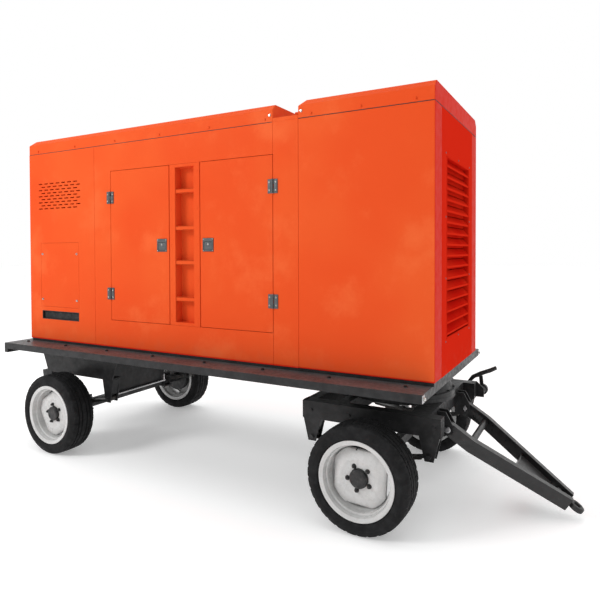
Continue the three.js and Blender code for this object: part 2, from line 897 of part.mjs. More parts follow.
function stepColumnGeometry(side) {
  const x0 = rearDoorFreeX + shutGap;
  const x1 = frontDoorFreeX - shutGap;
  const middle = (x0 + x1) / 2;
  const z0 = doorBottom + fit;
  const z1 = doorTop - fit;
  const back = stepPocketDepth + 5;
  const block = box(x0, x1, inward(side, 0), inward(side, back), z0, z1);
  const pocket = box(
    middle - stepPocketWidth / 2,
    middle + stepPocketWidth / 2,
    inward(side, -5),
    inward(side, stepPocketDepth),
    z0 + stepPocketMargin,
    z1 - stepPocketMargin,
  );
  const rungs = rungHeights.map((height) =>
    box(
      middle - stepPocketWidth / 2 - 5,
      middle + stepPocketWidth / 2 + 5,
      inward(side, 6),
      inward(side, 6 + rungSize),
      doorBottom + height - rungSize / 2,
      doorBottom + height + rungSize / 2,
    ),
  );
  return join(cut(block, pocket), ...rungs);
}

function frontSidePanelGeometry(side) {
  const outline = [
    [-frontPanelLength, inward(side, 0)],
    [0, inward(side, 0)],
    [0, inward(side, cornerReturn)],
    [-wall, inward(side, cornerReturn)],
    [-wall, inward(side, wall)],
    [-frontPanelLength, inward(side, wall)],
  ];
  const ordered = side === RIGHT ? outline : [...outline].reverse();
  return prismAlongZ(ordered, canopyBase, wallTop);
}

function frontPanelGeometry() {
  const half = halfWidth - cornerReturn - fit;
  const plate = box(-wall, 0, -half, half, canopyBase, wallTop);
  const opening = box(
    -wall - 5,
    5,
    -louvreWidth / 2,
    louvreWidth / 2,
    canopyBase + louvreBottom,
    canopyBase + louvreBottom + louvreHeight,
  );
  const pitch = louvreHeight / louvreCount;
  const sheet = 3;
  const blades = [];
  for (let i = 0; i < louvreCount; i++) {
    const low = canopyBase + louvreBottom + i * pitch;
    const blade = [
      [-wall + 2, low + pitch * 0.95],
      [-2, low + pitch * 0.35],
      [-2, low + pitch * 0.35 - sheet],
      [-wall + 2, low + pitch * 0.95 - sheet],
    ];
    blades.push(prismAlongY(blade, -louvreWidth / 2 - 2, louvreWidth / 2 + 2));
  }
  return join(cut(plate, opening), ...blades);
}

// ---- Rear end with the control panel behind a small door ----
const controlDoor = { half: 250, z0: wallTop - 706, z1: wallTop - 206 };
const stopButton = { y: -controlDoor.half - 130, z: wallTop - 456, radius: 20, travel: 6 };

function rearPanelGeometry() {
  const half = halfWidth - wall - fit;
  const plate = box(rearFaceX, rearFaceX + wall, -half, half, canopyBase, wallTop);
  return cut(
    plate,
    box(
      rearFaceX - 5,
      rearFaceX + wall + 5,
      -controlDoor.half,
      controlDoor.half,
      controlDoor.z0,
      controlDoor.z1,
    ),
    rodAlongX(
      stopButton.y,
      stopButton.z,
      stopButton.radius * 0.6 + fit,
      rearFaceX - 5,
      rearFaceX + wall + 5,
    ),
  );
}

function controlDoorGeometry() {
  const g = shutGap;
  const thickness = 25;
  const slab = box(
    rearFaceX,
    rearFaceX + thickness,
    -controlDoor.half + g,
    controlDoor.half - g,
    controlDoor.z0 + g,
    controlDoor.z1 - g,
  );
  const windowMargin = 90;
  const recess = box(
    rearFaceX - 5,
    rearFaceX + 8,
    -controlDoor.half + windowMargin,
    controlDoor.half - windowMargin,
    controlDoor.z0 + windowMargin,
    controlDoor.z1 - windowMargin,
  );
  return cut(slab, recess);
}

function stopButtonGeometry() {
  const head = 14;
  return join(
    rodAlongX(
      stopButton.y,
      stopButton.z,
      stopButton.radius,
      rearFaceX - stopButton.travel - 1 - head,
      rearFaceX - stopButton.travel - 1,
      16,
    ),
    rodAlongX(
      stopButton.y,
      stopButton.z,
      stopButton.radius * 0.6,
      rearFaceX - stopButton.travel - 3,
      rearFaceX + wall,
    ),
  );
}

// ---- Roof ----
function roofSection() {
  const shoulder = roofTop - chamfer;
  const base = wallTop + fit;
  return [
    [-halfWidth, base],
    [halfWidth, base],
    [halfWidth, shoulder],
    [halfWidth - chamfer, roofTop],
    [-halfWidth + chamfer, roofTop],
    [-halfWidth, shoulder],
  ];
}

// A roof cover, hollow underneath, with a chamfer along the ends that are named.
function roofCoverGeometry(x0, x1, frontChamfer, rearChamfer) {
  const tools = [box(x0 + wall, x1 - wall, inward(RIGHT, wall), inward(LEFT, wall), wallTop - 5, roofTop - wall)];
  const wedge = (edge, inwards) => {
    const outline = [
      [edge - inwards, roofTop - chamfer - 0.5],
      [edge - inwards, roofTop + 5],
      [edge + inwards * (chamfer + 5), roofTop + 5],
      [edge, roofTop - chamfer],
    ];
    return prismAlongY(outline, -halfWidth - 5, halfWidth + 5);
  };
  if (frontChamfer) tools.push(wedge(x1, -1));
  if (rearChamfer) tools.push(wedge(x0, 1));
  return cut(prismAlongX(roofSection(), x0, x1), ...tools);
}

const lugSpacing = halfWidth - 192; // lifting lugs from the centre plane
const lugHole = 24;

function roofRecessGeometry() {
  const x0 = frontDoorHingeX + fit;
  const x1 = -frontPanelLength - fit;
  const base = wallTop + fit;
  const floor = base + 24;
  const middle = (x0 + x1) / 2;
  const lugTop = floor + 70;
  const pieces = [box(x0, x1, -halfWidth, halfWidth, base, floor)];
  for (const side of [RIGHT, LEFT]) {
    const lug = prismAlongY(
      [
        [middle - 60, floor - 2],
        [middle + 60, floor - 2],
        [middle + 28, lugTop],
        [middle - 28, lugTop],
      ],
      side * (lugSpacing - 10),
      side * (lugSpacing + 10),
    );
    const hole = rodAlongY(middle, lugTop - 38, lugHole, side * (lugSpacing - 20), side * (lugSpacing + 20));
    pieces.push(cut(lug, hole));
  }
  return join(...pieces);
}

// ---- Power unit ----
const skidHeight = 120;
const skidRailWidth = 80;
const skidRail = halfWidth - 272; // skid rails from the centre plane
const feetHalf = skidRail + skidRailWidth / 2; // engine feet reach across both rails
const crankZ = canopyBase + 560;
const floorTop = canopyBase + skidHeight + fit; // the power unit stands on the skid rails
const radiatorThickness = 100;
const radiatorBackX = -1000;
const fanX = radiatorBackX - 110;
const engineFrontX = fanX - 90;
const engineLength = 980;
const engineRearX = engineFrontX - engineLength;
const alternatorLength = 749;
const alternatorFrontX = engineRearX - 1;
const alternatorRearX = alternatorFrontX - alternatorLength;

function skidGeometry() {
  const inset = 6;
  const x0 = -canopyLength + inset;
  const x1 = -inset;
  const half = halfWidth - inset;
  const plateTop = canopyBase - fit;
  const pieces = [box(x0, x1, -half, half, deckTop + fit, plateTop)];
  for (const side of [RIGHT, LEFT]) {
    pieces.push(
      box(
        x0 + 2 * wall,
        x1 - 2 * wall,
        side * (skidRail - skidRailWidth / 2),
        side * (skidRail + skidRailWidth / 2),
        plateTop - 1,
        canopyBase + skidHeight,
      ),
    );
  }
  return join(...pieces);
}

const blockHalf = 230; // engine block from the centre plane
const blockBottom = crankZ - 230;
const blockTop = crankZ + 340;
const headTop = blockTop + 110;

function engineGeometry() {
  const footLength = 100;
  const footTop = blockBottom + 50;
  const frontFootX = engineFrontX - 220;
  const rearFootX = engineRearX + 140;
  return join(
    box(engineRearX, engineFrontX, -blockHalf, blockHalf, blockBottom, blockTop),
    box(engineRearX + 120, engineFrontX - 130, -150, 150, blockBottom - 140, blockBottom + 10),
    box(engineRearX + 60, engineFrontX - 60, -130, 130, blockTop - 10, headTop),
    box(frontFootX, frontFootX + footLength, -feetHalf, feetHalf, floorTop, footTop),
    box(rearFootX - footLength, rearFootX, -feetHalf, feetHalf, floorTop, footTop),
    rodAlongX(0, crankZ, 35, engineFrontX - 10, fanX - 40),
  );
}

function alternatorGeometry() {
  const barrelRadius = 260;
  const footX = alternatorRearX + 30;
  const footHalf = feetHalf - 10;
  return join(
    rodAlongX(0, crankZ, barrelRadius, alternatorRearX, alternatorFrontX, 20),
    box(footX, footX + 120, -footHalf, footHalf, floorTop, crankZ),
    box(footX + 40, footX + 460, -190, 190, crankZ + barrelRadius - 80, crankZ + barrelRadius + 160),
  );
}

function radiatorGeometry() {
  const x0 = radiatorBackX;
  const x1 = radiatorBackX + radiatorThickness;
  const half = halfWidth - 142;
  const top = wallTop - 326;
  const face = 18;
  const frame = box(x0, x1, -half, half, floorTop, top);
  const core = (xa, xb) => box(xa, xb, -half + 50, half - 50, floorTop + 90, top - 90);
  return cut(frame, core(x0 - 5, x0 + face), core(x1 - face, x1 + 5));
}

// The cooling fan: a hub with seven pitched blades.
function fanGeometry() {
  const blades = 7;
  const hubRadius = 70;
  const pieces = [rodAlongX(0, 0, hubRadius, -30, 30, 14)];
  for (let i = 0; i < blades; i++) {
    const blade = new THREE.BoxGeometry(6, 110, fanRadius - hubRadius + 10);
    blade.rotateZ(turn(35)).translate(0, 0, (fanRadius + hubRadius - 10) / 2);
    blade.rotateX((i / blades) * 2 * Math.PI);
    pieces.push(blade);
  }
  return join(...pieces);
}

function mufflerGeometry() {
  const radius = 130;
  const pipeRadius = 45;
  const z = wallTop - 236;
  const x0 = -760;
  const x1 = -180;
  return join(
    rodAlongX(0, z, radius, x0, x1, 16),
    rodAlongX(0, z, pipeRadius, x0 - 100, x0 + 10, 12),
    rodAlongX(0, z, pipeRadius, x1 - 10, x1 + 70, 12),
  );
}

function batteryGeometry(side) {
  const length = 520;
  const half = 70;
  const x1 = engineRearX + 80;
  const x0 = x1 - length;
  const top = canopyBase + fit + 210;
  const y = side * (halfWidth - wall - half - 32);
  const post = (x) => rodAlongZ(x, y, 12, top - 5, top + 18, 8);
  return join(box(x0, x1, y - half, y + half, canopyBase + fit, top), post(x0 + 60), post(x1 - 60));
}

function airFilterGeometry() {
  const z = headTop + 170;
  const y = -150;
  const x1 = engineFrontX - 400;
  const x0 = x1 - 450;
  const strapHalf = 40;
  return join(
    rodAlongX(y, z, 110, x0, x1, 14),
    rodAlongX(y, z, 50, x1 - 10, x1 + 120, 12),
    box(x0 + 150, x0 + 150 + 2 * strapHalf, y - strapHalf, y + strapHalf, headTop + 1, z - 90),
  );
}

function controlPanelGeometry() {
  const x0 = rearFaceX + wall + 20;
  const half = controlDoor.half - 15;
  const face = box(x0, x0 + 110, -half, half, controlDoor.z0 + 10, controlDoor.z1 - 10);
  const screen = box(x0 - 5, x0 + 6, -90, 90, controlDoor.z1 - 190, controlDoor.z1 - 70);
  return cut(face, screen);
}

// ---- Assembly ----
for (const side of [RIGHT, LEFT]) {
  addWheel(chassis, "rear", rearAxleX, side);
  addWheel(bogie, "front", frontAxleX, side);
  part(chassis, `rear_spring_${sideName(side)}`, springGeometry(rearAxleX, side), springSteel);
  part(bogie, `front_spring_${sideName(side)}`, springGeometry(frontAxleX, side), springSteel);
}
part(chassis, "deck_frame", deckGeometry(), chassisPaint);
part(chassis, "rear_subframe", rearSubframeGeometry(), chassisPaint);
part(chassis, "rear_axle", axleGeometry(rearAxleX), darkCasting);
part(chassis, "brake_cross_shaft", brakeShaftGeometry(), bareSteel);
part(chassis, "turntable_bolster", bolsterGeometry(), chassisPaint);

part(bogie, "bogie_frame", bogieFrameGeometry(), chassisPaint);
part(bogie, "slewing_ring", slewingRingGeometry(), darkCasting);
part(bogie, "front_axle", axleGeometry(frontAxleX), darkCasting);
part(bogie, "parking_brake_lever", leverGeometry(), darkCasting).position.set(leverPivot.x, 0, leverPivot.z);

drawbarGroup.position.set(drawbarPivotX, 0, drawbarPivotZ);
drawbarGroup.rotation.y = drawbarPitch;
part(drawbarGroup, "drawbar", drawbarGeometry(), chassisPaint);
part(drawbarGroup, "tow_eye", towEyeGeometry(), darkCasting);
for (const side of [RIGHT, LEFT]) {
  part(drawbarGroup, `drawbar_pin_${sideName(side)}`, pinGeometry(side), bareSteel);
}

part(canopy, "base_skid", skidGeometry(), chassisPaint);
for (const side of [RIGHT, LEFT]) {
  const name = sideName(side);
  part(canopy, `side_frame_${name}`, sideFrameGeometry(side), canopyPaint);
  part(canopy, `front_side_panel_${name}`, frontSidePanelGeometry(side), canopyPaint);
  part(canopy, `step_column_${name}`, stepColumnGeometry(side), canopyPaint);
  for (const [place, hingeX] of [
    ["front", frontDoorHingeX],
    ["rear", rearDoorHingeX],
  ]) {
    part(canopy, `${place}_door_${name}`, doorGeometry(hingeX, side), canopyPaint);
    part(canopy, `${place}_door_lock_${name}`, lockGeometry(hingeX, side), hardwareGrey);
  }
}
const coverBox = box(
  terminalCover.x0,
  terminalCover.x1,
  inward(RIGHT, 0),
  inward(RIGHT, coverThickness),
  terminalCover.z0,
  terminalCover.z1,
);
part(canopy, "terminal_cover", coverBox, canopyPaint);
part(canopy, "front_louvre_panel", frontPanelGeometry(), canopyPaint);
part(canopy, "rear_end_panel", rearPanelGeometry(), canopyPaint);
part(canopy, "control_door", controlDoorGeometry(), canopyPaint);
part(canopy, "stop_button", stopButtonGeometry(), buttonRed);
part(canopy, "roof_cover_rear", roofCoverGeometry(-canopyLength, frontDoorHingeX, false, true), canopyPaint);
part(canopy, "roof_cover_front", roofCoverGeometry(-frontPanelLength, 0, false, true), canopyPaint);
part(canopy, "roof_recess", roofRecessGeometry(), canopyPaint);

part(canopy, "engine", engineGeometry(), enginePaint);
part(canopy, "alternator", alternatorGeometry(), alternatorPaint);
part(canopy, "radiator", radiatorGeometry(), radiatorBlack);
part(canopy, "fan", fanGeometry(), fanPlastic).position.set(fanX, 0, crankZ);
part(canopy, "muffler", mufflerGeometry(), mufflerSteel);
part(canopy, "battery", batteryGeometry(LEFT), batteryPlastic);
part(canopy, "air_filter", airFilterGeometry(), fanPlastic);
part(canopy, "control_panel", controlPanelGeometry(), panelGrey);

// The origin goes to the middle of the footprint, on the ground.
generator.updateMatrixWorld(true);
const bounds = new THREE.Box3().setFromObject(generator, true);
generator.position.set(-(bounds.min.x + bounds.max.x) / 2, -(bounds.min.y + bounds.max.y) / 2, -bounds.min.z);

export default generator;
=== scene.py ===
"""The looks of an enclosed towable diesel generator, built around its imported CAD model.

Lengths are millimetres in the row frame until a piece is made, unless a comment says metres.
+X points to the towing eye, and the right side is -Y.
"""

import json
import math

import bmesh
import bpy
from mathutils import Matrix, Vector


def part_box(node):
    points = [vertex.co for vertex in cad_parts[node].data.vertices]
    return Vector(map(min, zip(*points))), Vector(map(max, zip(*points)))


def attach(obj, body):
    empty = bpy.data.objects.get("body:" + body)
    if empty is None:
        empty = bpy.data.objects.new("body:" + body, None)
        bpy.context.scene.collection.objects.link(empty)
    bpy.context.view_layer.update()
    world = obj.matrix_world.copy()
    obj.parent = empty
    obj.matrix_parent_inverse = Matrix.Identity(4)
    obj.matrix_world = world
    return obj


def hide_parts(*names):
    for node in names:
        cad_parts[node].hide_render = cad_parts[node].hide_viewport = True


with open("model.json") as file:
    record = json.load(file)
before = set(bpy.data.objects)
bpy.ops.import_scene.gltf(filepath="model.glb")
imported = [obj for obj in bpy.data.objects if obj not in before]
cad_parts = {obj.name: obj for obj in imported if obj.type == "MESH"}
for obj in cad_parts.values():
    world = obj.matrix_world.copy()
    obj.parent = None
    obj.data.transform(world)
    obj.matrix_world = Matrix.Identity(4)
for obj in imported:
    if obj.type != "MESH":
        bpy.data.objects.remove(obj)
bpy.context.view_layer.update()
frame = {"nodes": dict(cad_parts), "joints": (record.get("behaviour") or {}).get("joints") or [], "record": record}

METRES = 0.001
RIGHT = -1
LEFT = 1
SIDES = ((RIGHT, "right"), (LEFT, "left"))


# ---- Places taken from the CAD ----
def span(node):
    """The low and high corners of a node's box."""
    low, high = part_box(node)
    return low / METRES, high / METRES


def middle_of(node):
    """The middle of a node's box."""
    low, high = span(node)
    return (low + high) / 2


def hinge_point(name):
    """The place of a joint's axis."""
    joint = next(j for j in frame["joints"] if j["name"] == name)
    return Vector(joint["pos_m"]) / METRES


FRONT = span("front_louvre_panel")[1].x
REAR = span("rear_end_panel")[0].x
HALF = span("roof_recess")[1].y
BASE = span("rear_end_panel")[0].z
WALL_TOP = span("rear_end_panel")[1].z
ROOF_TOP = span("roof_cover_rear")[1].z
WALL = span("rear_end_panel")[1].x - REAR
DECK_LOW, DECK_HIGH = span("deck_frame")
DOOR_LOW = span("step_column_right")[0].z
DOOR_HIGH = span("step_column_right")[1].z
SHUT_GAP = 3
FRONT_HINGE = hinge_point("front_right_door_hinge")
REAR_HINGE = hinge_point("rear_right_door_hinge")
STEP_LOW, STEP_HIGH = span("step_column_left")
PANEL_REAR = span("front_side_panel_left")[0].x


# ---- Shapes ----
def sharp_edges(bm, angle):
    """Edges whose faces meet at more than an angle in degrees."""
    limit = math.radians(angle)
    return [e for e in bm.edges if len(e.link_faces) == 2 and e.calc_face_angle(0) > limit]


def rounded(bm, radius, segments=2, angle=30):
    """Bevels the sharp edges."""
    if radius > 0:
        bmesh.ops.bevel(
            bm,
            geom=sharp_edges(bm, angle),
            offset=radius,
            offset_type="OFFSET",
            segments=segments,
            profile=0.5,
            affect="EDGES",
            clamp_overlap=True,
        )
    return bm


def facing(axis):
    """A turn that takes +Z to the named axis, and +X, +Y to the other two in cyclic order."""
    if axis == "X":
        return Matrix(((0, 0, 1, 0), (1, 0, 0, 0), (0, 1, 0, 0), (0, 0, 0, 1)))
    if axis == "Y":
        return Matrix(((0, 1, 0, 0), (0, 0, 1, 0), (1, 0, 0, 0), (0, 0, 0, 1)))
    return Matrix.Identity(4)


def towards(direction):
    """A turn that takes +Z to a direction."""
    return Vector((0, 0, 1)).rotation_difference(Vector(direction)).to_matrix().to_4x4()


def join_round(bm, rings, closed=True):
    """Faces between the neighbouring rings of a turned form."""
    count = len(rings[0])
    last = count if closed else count - 1
    for one, two in zip(rings, rings[1:] + rings[:1]):
        for i in range(last):
            j = (i + 1) % count
            bm.faces.new((one[i], two[i], two[j], one[j]))


def stand(place, direction):
    """A place where +Z points along a direction."""
    return Matrix.Translation(place) @ towards(direction)


class Shape:
    """Closed forms gathered into one mesh."""

    def __init__(self):
        self.bm = bmesh.new()

    def merge(self, bm, matrix=None):
        """Adds a form, moved by a matrix."""
        mesh = bpy.data.meshes.new("form")
        bm.to_mesh(mesh)
        bm.free()
        if matrix is not None:
            mesh.transform(matrix)
            if matrix.determinant() < 0:
                mesh.flip_normals()
        self.bm.from_mesh(mesh)
        bpy.data.meshes.remove(mesh)
        return self

    def stamp(self, other, matrix):
        """A copy of another shape at a place, so one bolt serves for a row."""
        return self.merge(other.bm.copy(), matrix)

    def box(self, x, y, z, radius=0, segments=2, turn=None):
        """A box from low and high values along each axis."""
        bm = bmesh.new()
        bmesh.ops.create_cube(bm, size=1)
        low = Vector((min(x), min(y), min(z)))
        size = Vector((max(x), max(y), max(z))) - low
        place = Matrix.Translation(low + size / 2) @ Matrix.Diagonal((*size, 1))
        bm.transform(place)
        rounded(bm, radius, segments)
        return self.merge(bm, turn)

    def prism(self, outline, axis, low, high, radius=0, segments=2, turn=None):
        """A flat outline stretched along an axis: Y and Z for X, Z and X for Y, X and Y for Z."""
        bm = bmesh.new()
        face = bm.faces.new([bm.verts.new((u, v, min(low, high))) for u, v in outline])
        face.normal_update()
        if face.normal.z > 0:
            face.normal_flip()
        grown = bmesh.ops.extrude_face_region(bm, geom=[face])
        tops = [v for v in grown["geom"] if isinstance(v, bmesh.types.BMVert)]
        bmesh.ops.translate(bm, verts=tops, vec=(0, 0, abs(high - low)))
        bmesh.ops.recalc_face_normals(bm, faces=bm.faces)
        rounded(bm, radius, segments)
        return self.merge(bm, (turn or Matrix.Identity(4)) @ facing(axis))

    def lathe(self, profile, matrix=None, sides=48, closed=True):
        """A ring or disc turned about Z from (radius, height) points."""
        bm = bmesh.new()
        rings = []
        for k in range(sides):
            a = 2 * math.pi * k / sides
            rings.append([bm.verts.new((r * math.cos(a), r * math.sin(a), h)) for r, h in profile])
        join_round(bm, rings, closed)
        bmesh.ops.remove_doubles(bm, verts=bm.verts, dist=1e-3)
        bmesh.ops.dissolve_degenerate(bm, edges=bm.edges, dist=1e-3)
        bmesh.ops.recalc_face_normals(bm, faces=bm.faces)
        return self.merge(bm, matrix)

    def rod(self, start, end, radius, sides=20, edge=1.0):
        """A round bar between two points with softened ends."""
        start, end = Vector(start), Vector(end)
        length = (end - start).length
        e = min(edge, radius * 0.4, length * 0.3)
        profile = [
            (0, 0), (radius - e, 0), (radius, e), (radius, length - e), (radius - e, length),
            (0, length),
        ]
        place = stand(start, end - start)
        return self.lathe(profile, place, sides, closed=False)

    def tube(self, points, radius, sides=12, caps=True):
        """A round tube along a line of points."""
        bm = bmesh.new()
        points = [Vector(p) for p in points]
        rings = []
        normal = None
        for i, p in enumerate(points):
            ahead = points[min(i + 1, len(points) - 1)] - points[max(i - 1, 0)]
            ahead.normalize()
            if normal is None:
                normal = ahead.orthogonal().normalized()
            normal = (normal - ahead * normal.dot(ahead)).normalized()
            other = ahead.cross(normal)
            ring = []
            for k in range(sides):
                a = 2 * math.pi * k / sides
                ring.append(bm.verts.new(p + radius * (math.cos(a) * normal + math.sin(a) * other)))
            rings.append(ring)
        for one, two in zip(rings, rings[1:]):
            for k in range(sides):
                j = (k + 1) % sides
                bm.faces.new((one[k], one[j], two[j], two[k]))
        if caps:
            bm.faces.new(list(reversed(rings[0])))
            bm.faces.new(rings[-1])
        return self.merge(bm)

    def ribbon(self, points, across, width, thickness, radius=0.6):
        """A flat bar bent along a line of points; `across` is the way its width lies."""
        bm = bmesh.new()
        across = Vector(across).normalized()
        rings = []
        points = [Vector(p) for p in points]
        for i, p in enumerate(points):
            ahead = (points[min(i + 1, len(points) - 1)] - points[max(i - 1, 0)]).normalized()
            up = ahead.cross(across).normalized()
            w, t = across * width / 2, up * thickness / 2
            rings.append([bm.verts.new(q) for q in (p - w - t, p + w - t, p + w + t, p - w + t)])
        for one, two in zip(rings, rings[1:]):
            for k in range(4):
                j = (k + 1) % 4
                bm.faces.new((one[k], one[j], two[j], two[k]))
        bm.faces.new(list(reversed(rings[0])))
        bm.faces.new(rings[-1])
        bmesh.ops.recalc_face_normals(bm, faces=bm.faces)
        rounded(bm, radius, 1, 40)
        return self.merge(bm)

    def soften(self, radius, segments=2, angle=30, flatten=False):
        """Rounds the sharp edges; `flatten` first joins the triangles of each flat face."""
        bmesh.ops.remove_doubles(self.bm, verts=self.bm.verts, dist=0.02)
        if flatten:
            bmesh.ops.dissolve_limit(
                self.bm, angle_limit=math.radians(1), verts=self.bm.verts, edges=self.bm.edges
            )
        rounded(self.bm, radius, segments, angle)
        return self


def to_mesh(shape, name):
    """A mesh with the shape's faces."""
    mesh = bpy.data.meshes.new(name)
    shape.bm.to_mesh(mesh)
    return mesh


def carve(body, tools):
    """The body less the tools."""
    objects = []
    for shape in (body, tools):
        o = bpy.data.objects.new("carve", to_mesh(shape, "carve"))
        bpy.context.scene.collection.objects.link(o)
        objects.append(o)
    cutting = objects[0].modifiers.new("cut", "BOOLEAN")
    cutting.operation = "DIFFERENCE"
    cutting.solver = "EXACT"
    cutting.use_self = True
    cutting.object = objects[1]
    graph = bpy.context.evaluated_depsgraph_get()
    mesh = bpy.data.meshes.new_from_object(objects[0].evaluated_get(graph))
    result = Shape()
    result.bm.from_mesh(mesh)
    for o in objects:
        bpy.data.objects.remove(o)
    bpy.data.meshes.remove(mesh)
    return result


def from_cad(node):
    """A node's own solid, cleaned so that its edges can be rounded."""
    result = Shape()
    mesh = frame["nodes"][node].data.copy()
    mesh.transform(Matrix.Diagonal((1 / METRES, 1 / METRES, 1 / METRES, 1)))
    result.bm.from_mesh(mesh)
    bpy.data.meshes.remove(mesh)
    bmesh.ops.remove_doubles(result.bm, verts=result.bm.verts, dist=0.02)
    return result


def piece(shape, name, body, finish, replaces=(), smooth=38):
    """Makes a shape into a piece with its finish, on its body."""
    mesh = to_mesh(shape, name)
    shape.bm.free()
    mesh.transform(Matrix.Diagonal((METRES, METRES, METRES, 1)))
    mesh.shade_smooth()
    mesh.set_sharp_from_angle(angle=math.radians(smooth))
    obj = bpy.data.objects.new(name, mesh)
    bpy.context.scene.collection.objects.link(obj)
    obj.data.materials.append(FINISHES[finish])
    weighted = obj.modifiers.new("normals", "WEIGHTED_NORMAL")
    weighted.keep_sharp = True
    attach(obj, body)
    if replaces:
        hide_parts(*replaces)
    return obj


# ---- Finishes ----
class Graph:
    """A material's nodes. Patterns lie in the object's own space, which is the row frame in metres."""

    def __init__(self, name):
        self.material = bpy.data.materials.new(name)
        self.material.use_nodes = True
        self.tree = self.material.node_tree
        self.shader = self.tree.nodes["Principled BSDF"]
        self.place = self.node("ShaderNodeTexCoord").outputs["Object"]

    def node(self, kind, **settings):
        """A new node."""
        made = self.tree.nodes.new(kind)
        for key, value in settings.items():
            setattr(made, key, value)
        return made

    def feed(self, socket, value):
        """Sets a socket to a number, or links it."""
        if isinstance(value, bpy.types.NodeSocket):
            self.tree.links.new(value, socket)
        else:
            socket.default_value = value

    def stretched(self, scale):
        """The pattern space, scaled along each axis."""
        mapping = self.node("ShaderNodeMapping")
        self.feed(mapping.inputs["Vector"], self.place)
        mapping.inputs["Scale"].default_value = scale
        return mapping.outputs["Vector"]

    def noise(self, scale, detail=3, roughness=0.55, place=None):
        """Cloudy noise."""
        made = self.node("ShaderNodeTexNoise")
        self.feed(made.inputs["Vector"], place or self.place)
        made.inputs["Scale"].default_value = scale
        made.inputs["Detail"].default_value = detail
        made.inputs["Roughness"].default_value = roughness
        return made.outputs["Fac"]

    def cells(self, scale, place=None):
        """Distance to the nearest of scattered points."""
        made = self.node("ShaderNodeTexVoronoi")
        self.feed(made.inputs["Vector"], place or self.place)
        made.inputs["Scale"].default_value = scale
        return made.outputs["Distance"]

    def range(self, value, low, high, to_low=0.0, to_high=1.0):
        """A value mapped smoothly from one range to another."""
        made = self.node("ShaderNodeMapRange", interpolation_type="SMOOTHSTEP")
        self.feed(made.inputs["Value"], value)
        for key, number in (("From Min", low), ("From Max", high), ("To Min", to_low), ("To Max", to_high)):
            made.inputs[key].default_value = number
        return made.outputs["Result"]

    def maths(self, operation, a, b=0.5):
        """Two values put together by an operation, kept within 0 and 1."""
        made = self.node("ShaderNodeMath", operation=operation, use_clamp=True)
        self.feed(made.inputs[0], a)
        self.feed(made.inputs[1], b)
        return made.outputs[0]

    def mix(self, share, a, b):
        """A share of the way from one colour to another."""
        made = self.node("ShaderNodeMix", data_type="RGBA")
        self.feed(made.inputs["Factor"], share)
        for key, value in (("A", a), ("B", b)):
            socket = next(s for s in made.inputs if s.name == key and s.type == "RGBA")
            self.feed(socket, (*value, 1) if isinstance(value, tuple) else value)
        return next(s for s in made.outputs if s.type == "RGBA")

    def part_of(self, vector, axis):
        """One part of a vector."""
        made = self.node("ShaderNodeSeparateXYZ")
        self.feed(made.inputs[0], vector)
        return made.outputs[axis]

    def height(self):
        """Metres above the ground."""
        return self.part_of(self.place, "Z")

    def forward(self):
        """Metres towards the towing eye."""
        return self.part_of(self.place, "X")

    def facing_up(self):
        """1 on faces that look straight up."""
        return self.part_of(self.node("ShaderNodeNewGeometry").outputs["Normal"], "Z")

    def bump(self, relief, strength, distance, under=None):
        """Relief added to the surface."""
        made = self.node("ShaderNodeBump")
        made.inputs["Strength"].default_value = strength
        made.inputs["Distance"].default_value = distance
        self.feed(made.inputs["Height"], relief)
        if under is not None:
            self.feed(made.inputs["Normal"], under)
        return made.outputs["Normal"]

    def done(self, colour, roughness, metallic=0.0, normal=None, coat=0.0, coat_roughness=0.1, specular=0.5):
        s = self.shader.inputs
        self.feed(s["Base Color"], colour)
        self.feed(s["Roughness"], roughness)
        s["Metallic"].default_value = metallic
        s["Coat Weight"].default_value = coat
        s["Coat Roughness"].default_value = coat_roughness
        s["Specular IOR Level"].default_value = specular
        if normal is not None:
            self.feed(s["Normal"], normal)
        return self.material


def canopy_finish(name, paint, pale, deep, front, specular):
    """Sprayed paint: broad shifts of tone, faint streaks, orange peel, paler patches that are part paint and part
    painted sheen, and painted shade as a deeper red on the front end and in a foot line along the bottom.
    """
    g = Graph(name)
    broad = g.range(g.noise(1.3, 2), 0.35, 0.7)
    tone = g.mix(broad, deep, paint)
    # Paler patches at random: part uneven paint, part painted sheen.
    tone = g.mix(g.range(g.noise(2.3, 5, 0.65), 0.5, 0.72, 0, 0.5), tone, pale)
    streaks = g.noise(9, 5, 0.6, g.stretched((4.0, 4.0, 0.25)))
    tone = g.mix(g.range(streaks, 0.55, 0.85, 0, 0.16), tone, deep)
    # Painted shade: a deeper red along the foot of the walls (below 0.849 m) and on the last millimetres of the
    # front end.
    tone = g.mix(g.range(g.height(), 0.849, 0.856, 1, 0), tone, front)
    tone = g.mix(g.range(g.forward(), FRONT / 1000 - 0.004, FRONT / 1000 - 0.001), tone, front)
    dust = g.maths(
        "MULTIPLY", g.range(g.height(), 0.84, 1.0, 1, 0), g.range(g.noise(14, 6), 0.4, 0.75, 0, 0.08),
    )
    tone = g.mix(dust, tone, (0.33, 0.2, 0.13))
    peel = g.bump(g.noise(420, 2), 0.05, 0.0006)
    waves = g.bump(g.noise(5.5, 1), 0.12, 0.006, peel)
    rough = g.range(g.noise(22, 5), 0.3, 0.8, 0.34, 0.5)
    return g.done(tone, rough, 0, waves, 0.0, 0.18, specular)


